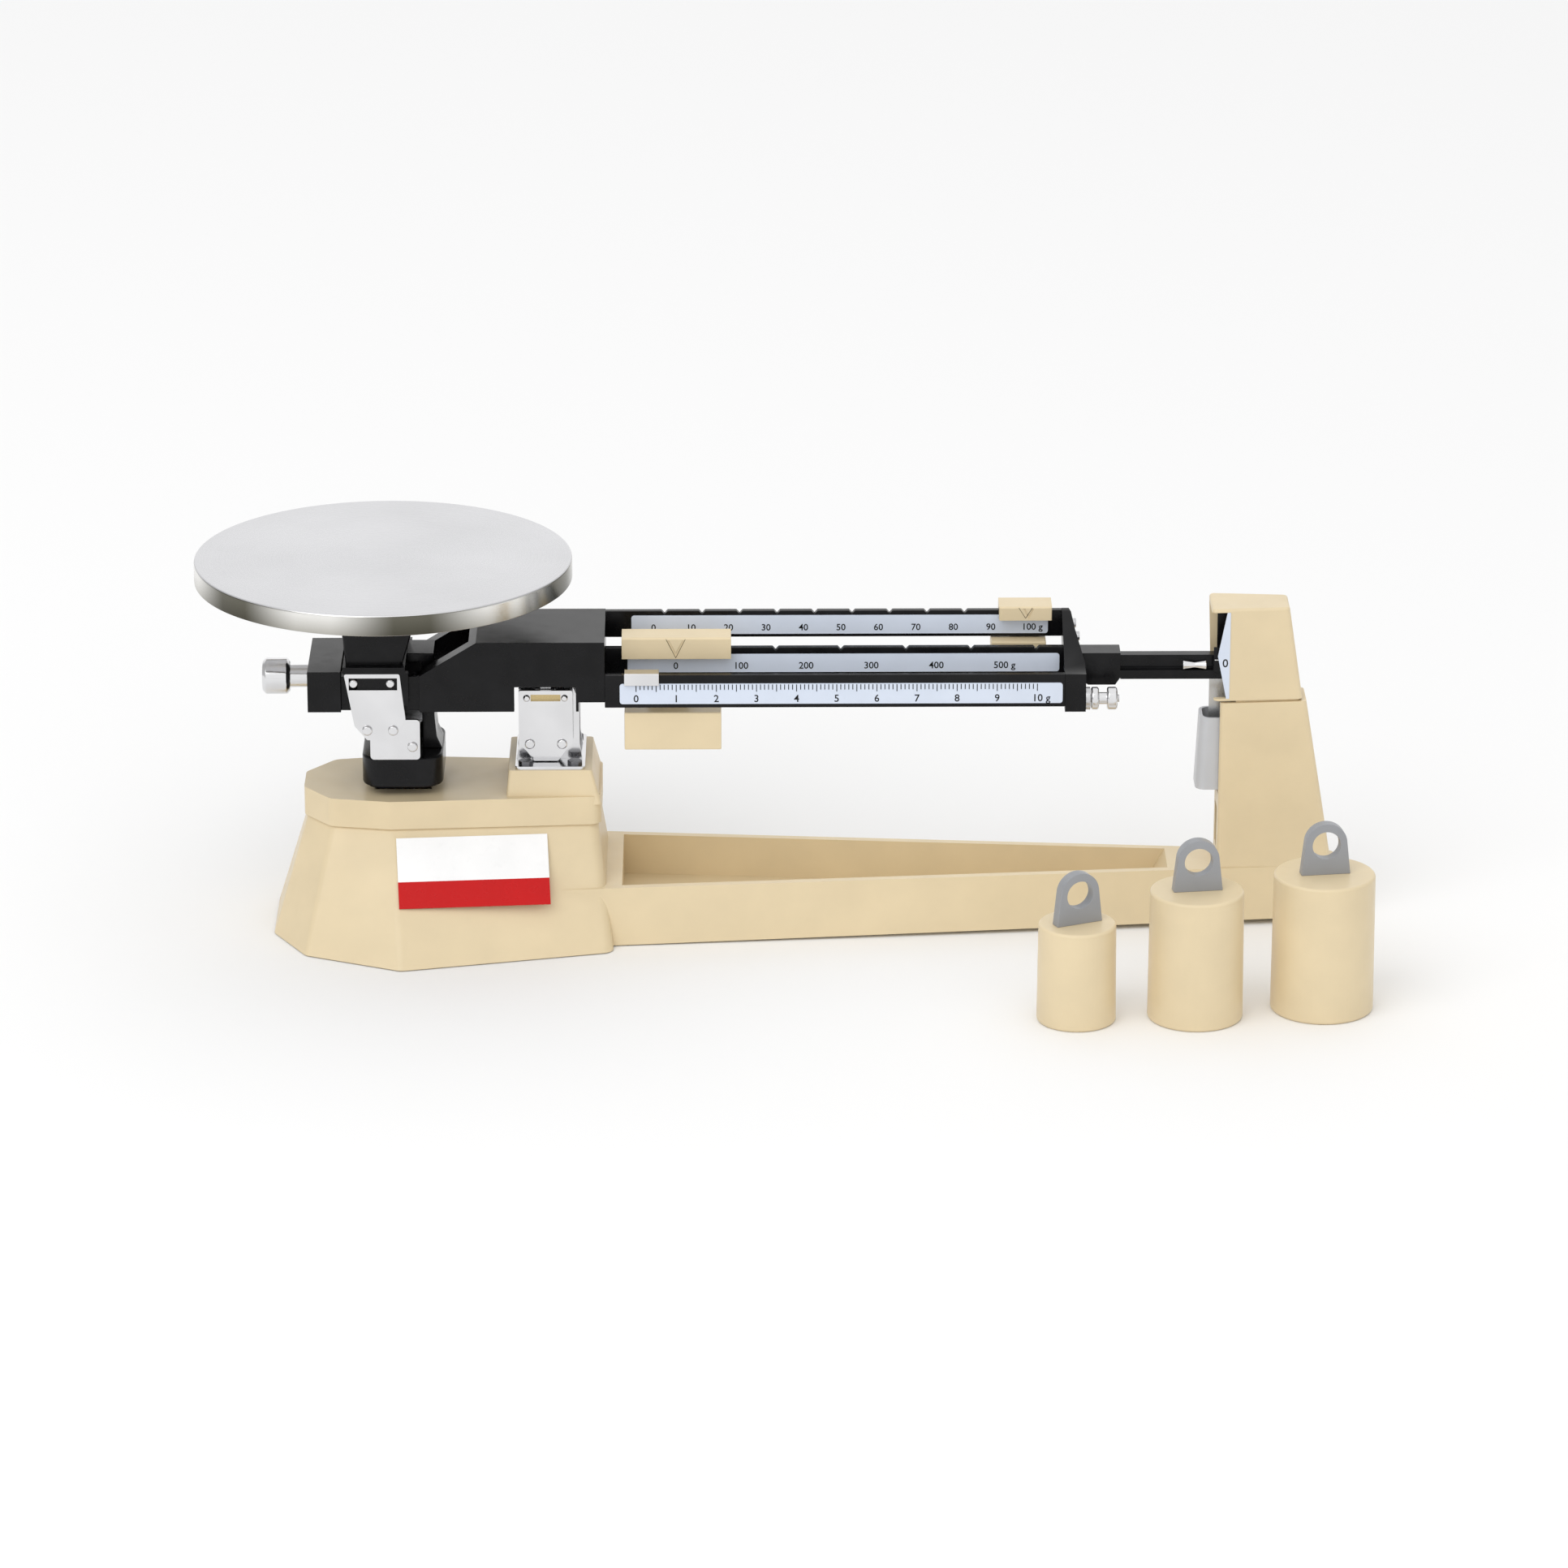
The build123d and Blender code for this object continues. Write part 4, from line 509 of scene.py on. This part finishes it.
def round_corners(shape, axis, radius):
    """Large rounding of a plate's outer corners, along its thickness."""
    merge_facets(shape)
    corners = []
    for edge in shape.edges:
        run = (edge.verts[1].co - edge.verts[0].co).normalized()
        if is_sharp(edge) and abs(run[axis]) > ALONG_AXIS and edge.is_convex:
            corners.append(edge)
    bmesh.ops.bevel(
        shape, geom=corners, offset=radius, offset_type="OFFSET", segments=CORNER_STEPS, profile=0.5,
        affect="EDGES", clamp_overlap=True,
    )


# Plates with large round corners: the axis along their thickness (0 to 2), and the radius
CORNERS = {
    "hanger_covers": (1, 2.6 * MM),
    "hanger_bracket": (1, 1.6 * MM),
    "rear_poise_cap": (2, 1.8 * MM),
    "fulcrum_covers": (1, 1.2 * MM),
}


def dress(node, material, width):
    """Copy of a CAD node with rounded edges and its real finish."""
    source = frame["nodes"][node]
    shape = bmesh.new()
    shape.from_mesh(source.data)
    if node in CORNERS:
        round_corners(shape, *CORNERS[node])
    round_edges(shape, width)
    piece = add_piece(node + "_finished", mesh_of(node + "_dressed", shape))
    finish_piece(piece, node, material)
    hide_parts(node)


# Finish and edge rounding of each CAD node that is shown as it was modelled
DRESSED = {
    "base_casting": ("beige_paint", BIG_ROUND),
    "tower_body": ("beige_paint", BIG_ROUND),
    "tower_hood": ("beige_paint", BIG_ROUND),
    "damper_shelf": ("beige_paint", MIDDLE_ROUND),
    "damper_cup": ("cup_paint", SMALL_ROUND),
    "tower_liner": ("black_paint", SMALL_ROUND),
    "index_plate": ("scale_white", FINE_ROUND),
    "damper_magnets": ("zinc_steel", SMALL_ROUND),
    "base_feet": ("black_rubber", MIDDLE_ROUND),
    "base_screws": ("zinc_steel", FINE_ROUND),
    "fulcrum_stand": ("bright_chrome", MIDDLE_ROUND),
    "stand_bolts": ("dark_steel", SMALL_ROUND),
    "fulcrum_bearings": ("black_paint", FINE_ROUND),
    "fulcrum_end_plates": ("plain_brass", FINE_ROUND),
    "fulcrum_covers": ("bright_chrome", SMALL_ROUND),
    "fulcrum_cover_screws": ("bright_chrome", SMALL_ROUND),
    "link_base_pin": ("zinc_steel", FINE_ROUND),
    "beam_casting": ("black_paint", MIDDLE_ROUND),
    "fulcrum_knife": ("zinc_steel", FINE_ROUND),
    "pan_knives": ("zinc_steel", FINE_ROUND),
    "front_rail": ("black_paint", SMALL_ROUND),
    "centre_rail": ("black_paint", SMALL_ROUND),
    "rear_rail": ("black_paint", SMALL_ROUND),
    "front_scale_plate": ("scale_white", FINE_ROUND),
    "centre_scale_plate": ("scale_white", FINE_ROUND),
    "rear_scale_plate": ("scale_white", FINE_ROUND),
    "rail_end_frame": ("black_paint", MIDDLE_ROUND),
    "end_frame_screws": ("zinc_steel", SMALL_ROUND),
    "pointer_arm": ("black_paint", SMALL_ROUND),
    "pointer": ("black_paint", SMALL_ROUND),
    "weight_pin": ("bright_chrome", SMALL_ROUND),
    "damper_vane": ("plain_aluminium", FINE_ROUND),
    "calibration_stud": ("zinc_steel", FINE_ROUND),
    "calibration_nut": ("bright_chrome", SMALL_ROUND),
    "zero_knob": ("bright_chrome", SMALL_ROUND),
    "zero_weight": ("plain_brass", SMALL_ROUND),
    "pan_saddle": ("black_paint", MIDDLE_ROUND),
    "hanger_covers": ("bright_chrome", SMALL_ROUND),
    "hanger_bearings": ("black_paint", SMALL_ROUND),
    "hanger_screws": ("bright_chrome", SMALL_ROUND),
    "hanger_bracket": ("bright_chrome", SMALL_ROUND),
    "hanger_post": ("black_paint", MIDDLE_ROUND),
    "hanger_foot": ("black_paint", BIG_ROUND),
    "hanger_stem": ("zinc_steel", SMALL_ROUND),
    "link_stem_pin": ("zinc_steel", FINE_ROUND),
    "check_link": ("plain_aluminium", SMALL_ROUND),
    "pan_socket": ("zinc_steel", SMALL_ROUND),
    "front_poise": ("bright_chrome", SMALL_ROUND),
    "centre_poise_cap": ("beige_paint", MIDDLE_ROUND),
    "centre_poise_block": ("beige_paint", MIDDLE_ROUND),
    "rear_poise_cap": ("beige_paint", MIDDLE_ROUND),
    "rear_poise_block": ("beige_paint", MIDDLE_ROUND),
    "small_weight": ("beige_paint", SMALL_ROUND),
    "middle_weight": ("beige_paint", SMALL_ROUND),
    "large_weight": ("beige_paint", SMALL_ROUND),
    "small_weight_loop": ("grey_paint", SMALL_ROUND),
    "middle_weight_loop": ("grey_paint", SMALL_ROUND),
    "large_weight_loop": ("grey_paint", SMALL_ROUND),
}
for node, (material, width) in DRESSED.items():
    dress(node, material, width)


def arc(centre_r, centre_z, radius, start, end, count=6):
    """Points of a round corner, as (distance from the axis, height)."""
    points = []
    for index in range(count + 1):
        angle = math.radians(start + (end - start) * index / count)
        points.append((centre_r + radius * math.cos(angle), centre_z + radius * math.sin(angle)))
    return points


def make_pan():
    """Spun pan: a flat disc with a rounded edge and a skirt of sheet metal."""
    radius = (pan_high.x - pan_low.x) / 2
    top = pan_high.z
    low = pan_low.z
    inside = radius - PAN_SHEET
    profile = [(0, top)]
    profile += arc(radius - PAN_ROUND, top - PAN_ROUND, PAN_ROUND, 90, 0)
    profile += arc(radius - LIP_ROUND, low + LIP_ROUND, LIP_ROUND, 0, -90)
    profile += arc(inside + LIP_ROUND, low + LIP_ROUND, LIP_ROUND, -90, -180)
    profile += [(inside, top - PAN_SHEET), (0, top - PAN_SHEET)]

    def build(shape):
        verts = [shape.verts.new((r, 0, z)) for r, z in profile]
        edges = [shape.edges.new(pair) for pair in zip(verts, verts[1:])]
        bmesh.ops.spin(
            shape, geom=verts + edges, cent=(0, 0, 0), axis=(0, 0, 1), angle=2 * math.pi,
            steps=PAN_STEPS, use_merge=True, use_duplicate=False,
        )
        bmesh.ops.remove_doubles(shape, verts=shape.verts, dist=WELD)
        bmesh.ops.recalc_face_normals(shape, faces=shape.faces)
        bmesh.ops.translate(shape, verts=shape.verts, vec=(PAN_MIDDLE.x, PAN_MIDDLE.y, 0))

    piece = add_piece("pan_finished", mesh_from("pan_finished", build))
    finish_piece(piece, "pan", "pan_steel")
    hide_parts("pan")


make_pan()


def colour_pan_edge(piece):
    """The pan's turned-down skirt gets the rim material, with its painted reflections and painted darker
    lower edge.
    """
    piece.data.materials.append(MATERIALS["pan_edge_painted_reflections"])
    reach = RIM_REACH * (pan_high.x - pan_low.x) / 2
    for face in piece.data.polygons:
        away = face.center - PAN_MIDDLE
        if abs(face.normal.z) < RIM_STEEPNESS and math.hypot(away.x, away.y) > reach:
            face.material_index = 1


colour_pan_edge(bpy.data.objects["pan_finished"])


def make_label():
    """Plain white field over a red one, on the panel of the base's front."""
    source = frame["nodes"]["label_panel"]
    low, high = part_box("label_panel")
    split_z = low.z + (high.z - low.z) * LABEL_RED_SHARE
    for name, material, keep_top in (("label_top", "label_white", True), ("label_foot", "label_red", False)):
        shape = bmesh.new()
        shape.from_mesh(source.data)
        bmesh.ops.remove_doubles(shape, verts=shape.verts, dist=WELD)
        bmesh.ops.bisect_plane(
            shape, geom=shape.verts[:] + shape.edges[:] + shape.faces[:], plane_co=(0, 0, split_z),
            plane_no=(0, 0, 1), clear_inner=keep_top, clear_outer=not keep_top,
        )
        bmesh.ops.holes_fill(shape, edges=[edge for edge in shape.edges if edge.is_boundary])
        piece = add_piece(name, mesh_of(name, shape))
        finish_piece(piece, "label_panel", material)
        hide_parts("label_panel")


make_label()


def upright_text(words, height, bold):
    """Mesh of words in the built-in font, centred, standing in the XZ plane and facing the front."""
    curve = bpy.data.curves.new("words", "FONT")
    curve.body = words
    curve.size = height / DIGIT_SHARE
    curve.align_x = "CENTER"
    curve.align_y = "CENTER"
    curve.offset = bold
    curve.extrude = PRINT_DEPTH / 2
    curve.resolution_u = 3
    holder = bpy.data.objects.new("words", curve)
    bpy.context.scene.collection.objects.link(holder)
    bpy.context.view_layer.update()
    graph = bpy.context.evaluated_depsgraph_get()
    mesh = bpy.data.meshes.new_from_object(holder.evaluated_get(graph))
    bpy.data.objects.remove(holder)
    bpy.data.curves.remove(curve)
    mesh.transform(Matrix.Rotation(math.pi / 2, 4, "X"))
    return mesh


def join_meshes(name, placed):
    """One mesh from several (mesh, matrix) pairs."""
    shape = bmesh.new()
    for mesh, matrix in placed:
        part = bmesh.new()
        part.from_mesh(mesh)
        part.transform(matrix)
        swap = mesh_of("swap", part)
        shape.from_mesh(swap)
        bpy.data.meshes.remove(swap)
    return mesh_of(name, shape)


def box_mesh(low, high):
    """Closed box between two corners."""
    def build(shape):
        made = bmesh.ops.create_cube(shape, size=1.0)
        for vert in made["verts"]:
            vert.co = Vector((low[i] + (high[i] - low[i]) * (vert.co[i] + 0.5) for i in range(3)))
    return mesh_from("box", build)


def print_numbers(plate, words, first, step, height, centre_z, last_shift):
    """Row of numbers on a scale plate."""
    low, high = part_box(plate)
    front = low.y - PRINT_DEPTH / 2 + PRINT_SUNK
    placed = []
    for index, word in enumerate(words):
        x = FULCRUM.x + first + step * index
        if index == len(words) - 1:
            x += last_shift
        placed.append((upright_text(word, height, NUMBER_WEIGHT), Matrix.Translation((x, front, centre_z))))
    piece = add_piece(plate + "_numbers", join_meshes(plate + "_numbers", placed))
    finish_piece(piece, plate, "print_black")


rear_low, rear_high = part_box("rear_scale_plate")
centre_low, centre_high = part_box("centre_scale_plate")
front_low, front_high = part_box("front_scale_plate")
print_numbers("rear_scale_plate", REAR_NUMBERS, REAR_FIRST, REAR_STEP, REAR_HEIGHT,
              rear_low.z + REAR_LEVEL * (rear_high.z - rear_low.z), REAR_LAST_SHIFT)
print_numbers("centre_scale_plate", CENTRE_NUMBERS, CENTRE_FIRST, CENTRE_STEP, CENTRE_HEIGHT,
              centre_low.z + CENTRE_LEVEL * (centre_high.z - centre_low.z), CENTRE_LAST_SHIFT)
print_numbers("front_scale_plate", FRONT_NUMBERS, FRONT_FIRST, FRONT_STEP, FRONT_HEIGHT,
              front_low.z + FRONT_LEVEL * (front_high.z - front_low.z), FRONT_LAST_SHIFT)


def print_ticks():
    """Fine division marks of the front scale."""
    placed = []
    count = TICKS_PER_STEP * (len(FRONT_NUMBERS) - 1)
    top = front_high.z - TICK_TOP_GAP
    for index in range(count + 1):
        x = FULCRUM.x + FRONT_FIRST + FRONT_STEP * index / TICKS_PER_STEP
        length = LONG_TICK if index % LONG_TICK_EVERY == 0 else SHORT_TICK
        mark = box_mesh((x - TICK_HALF, front_low.y - PRINT_DEPTH, top - length),
                        (x + TICK_HALF, front_low.y, top))
        placed.append((mark, Matrix.Identity(4)))
    piece = add_piece("front_scale_marks", join_meshes("front_scale_marks", placed))
    finish_piece(piece, "front_scale_plate", "print_black")


print_ticks()


def print_index():
    """Zero on the index plate."""
    low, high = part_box("index_plate")
    middle_z = FULCRUM.z + INDEX_LEVEL
    front = low.y - PRINT_DEPTH / 2 + PRINT_SUNK
    x = low.x + INDEX_PLACE * (high.x - low.x)
    zero = (upright_text("0", INDEX_HEIGHT, INDEX_WEIGHT), Matrix.Translation((x, front, middle_z)))
    piece = add_piece("index_zero", join_meshes("index_zero", [zero]))
    finish_piece(piece, "index_plate", "print_black")


print_index()


def print_pointer_line():
    """White zero line on the pointer's front."""
    low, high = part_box("pointer")
    middle_z = (low.z + high.z) / 2
    line = box_mesh((low.x + POINTER_LINE_START, low.y - PRINT_DEPTH, middle_z - POINTER_LINE_HALF),
                    (high.x - POINTER_LINE_END, low.y + PRINT_DEPTH, middle_z + POINTER_LINE_HALF))
    piece = add_piece("pointer_line", line)
    finish_piece(piece, "pointer", "label_white")


print_pointer_line()


def vee_mark(name, node, middle_x, half, top_z, tip_z):
    """Fine V on a poise's front, as two thin strokes of painted shade in darkened beige."""
    low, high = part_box(node)
    front = low.y
    placed = []
    for side in (-1, 1):
        run = Vector((-side * half, 0, tip_z - top_z))
        angle = math.atan2(run.z, run.x)
        stroke = box_mesh((0, -VEE_PROUD, -VEE_STROKE_HALF), (run.length, VEE_SUNK, VEE_STROKE_HALF))
        matrix = Matrix.Translation((middle_x + side * half, front, top_z)) @ Matrix.Rotation(-angle, 4, "Y")
        placed.append((stroke, matrix))
    piece = add_piece(name, join_meshes(name, placed))
    finish_piece(piece, node, "vee_painted_shade")


cap_low, cap_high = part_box("centre_poise_cap")
vee_mark("centre_poise_vee", "centre_poise_cap", FULCRUM.x + CENTRE_FIRST, CENTRE_VEE_HALF,
         cap_high.z - CENTRE_VEE_TOP, cap_low.z + CENTRE_VEE_TIP)
rear_cap_low, rear_cap_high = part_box("rear_poise_cap")
vee_mark("rear_poise_vee", "rear_poise_cap", (rear_cap_low.x + rear_cap_high.x) / 2, REAR_VEE_HALF,
         rear_cap_high.z - REAR_VEE_TOP, rear_cap_low.z + REAR_VEE_TIP)


def make_floor():
    """Wide pale floor that shows white and keeps the soft shadow."""
    mesh = bpy.data.meshes.new("floor")
    half = FLOOR_SIZE / 2
    corners = [(-half, -half, 0), (half, -half, 0), (half, half, 0), (-half, half, 0)]
    mesh.from_pydata(corners, [], [(0, 1, 2, 3)])
    floor = add_piece("floor", mesh)
    material, tree, shader = new_material("pale_floor")
    shader.inputs["Base Color"].default_value = grey(FLOOR_BRIGHTNESS)
    shader.inputs["Roughness"].default_value = FLOOR_ROUGHNESS
    shader.inputs["Specular IOR Level"].default_value = 0.0
    mesh.materials.append(material)


def make_world():
    """Softly graded studio, the same for the camera, the light and the reflections."""
    world = bpy.data.worlds.new("studio")
    bpy.context.scene.world = world
    world.use_nodes = True
    tree = world.node_tree
    tree.nodes.clear()
    output = tree.nodes.new("ShaderNodeOutputWorld")
    lit = tree.nodes.new("ShaderNodeBackground")
    lit.inputs["Strength"].default_value = WORLD_STRENGTH
    place = tree.nodes.new("ShaderNodeTexCoord")
    parts = tree.nodes.new("ShaderNodeSeparateXYZ")
    tree.links.new(place.outputs["Generated"], parts.inputs["Vector"])
    side = tree.nodes.new("ShaderNodeValToRGB")
    stops = side.color_ramp.elements
    stops[0].position = 0.0
    stops[0].color = grey(WORLD_LEFT)
    stops[1].position = 1.0
    stops[1].color = grey(WORLD_RIGHT)
    for position, value in WORLD_BANDS:
        stop = stops.new(position)
        stop.color = grey(value)
    across = spread(tree, parts.outputs["X"], 0.0, 1.0, from_low=-1.0, from_high=1.0)
    tree.links.new(across, side.inputs["Fac"])
    tree.links.new(side.outputs["Color"], lit.inputs["Color"])
    tree.links.new(lit.outputs["Background"], output.inputs["Surface"])


def make_key():
    """Large soft lamp above the front left."""
    lamp = bpy.data.lights.new("key", "AREA")
    lamp.energy = KEY_POWER
    lamp.size = KEY_SIZE
    holder = bpy.data.objects.new("key", lamp)
    bpy.context.scene.collection.objects.link(holder)
    holder.location = FULCRUM + KEY_FROM
    holder.rotation_mode = "QUATERNION"
    holder.rotation_quaternion = (-KEY_FROM).to_track_quat("-Z", "Y")


def make_camera():
    """Long lens at the photograph's height and turn."""
    data = bpy.data.cameras.new("camera")
    data.lens = CAMERA_LENS
    data.sensor_width = SENSOR_WIDTH
    data.clip_start = NEAREST_SEEN
    data.clip_end = FURTHEST_SEEN
    camera = bpy.data.objects.new("camera", data)
    bpy.context.scene.collection.objects.link(camera)
    forward = Vector((
        math.sin(CAMERA_YAW) * math.cos(CAMERA_ELEVATION),
        math.cos(CAMERA_YAW) * math.cos(CAMERA_ELEVATION),
        -math.sin(CAMERA_ELEVATION),
    ))
    camera.location = FULCRUM + CAMERA_AIM - forward * CAMERA_DISTANCE
    camera.rotation_mode = "QUATERNION"
    camera.rotation_quaternion = forward.to_track_quat("-Z", "Y")
    bpy.context.scene.camera = camera


make_floor()
make_world()
make_key()
make_camera()
bpy.context.scene.view_settings.view_transform = "Standard"
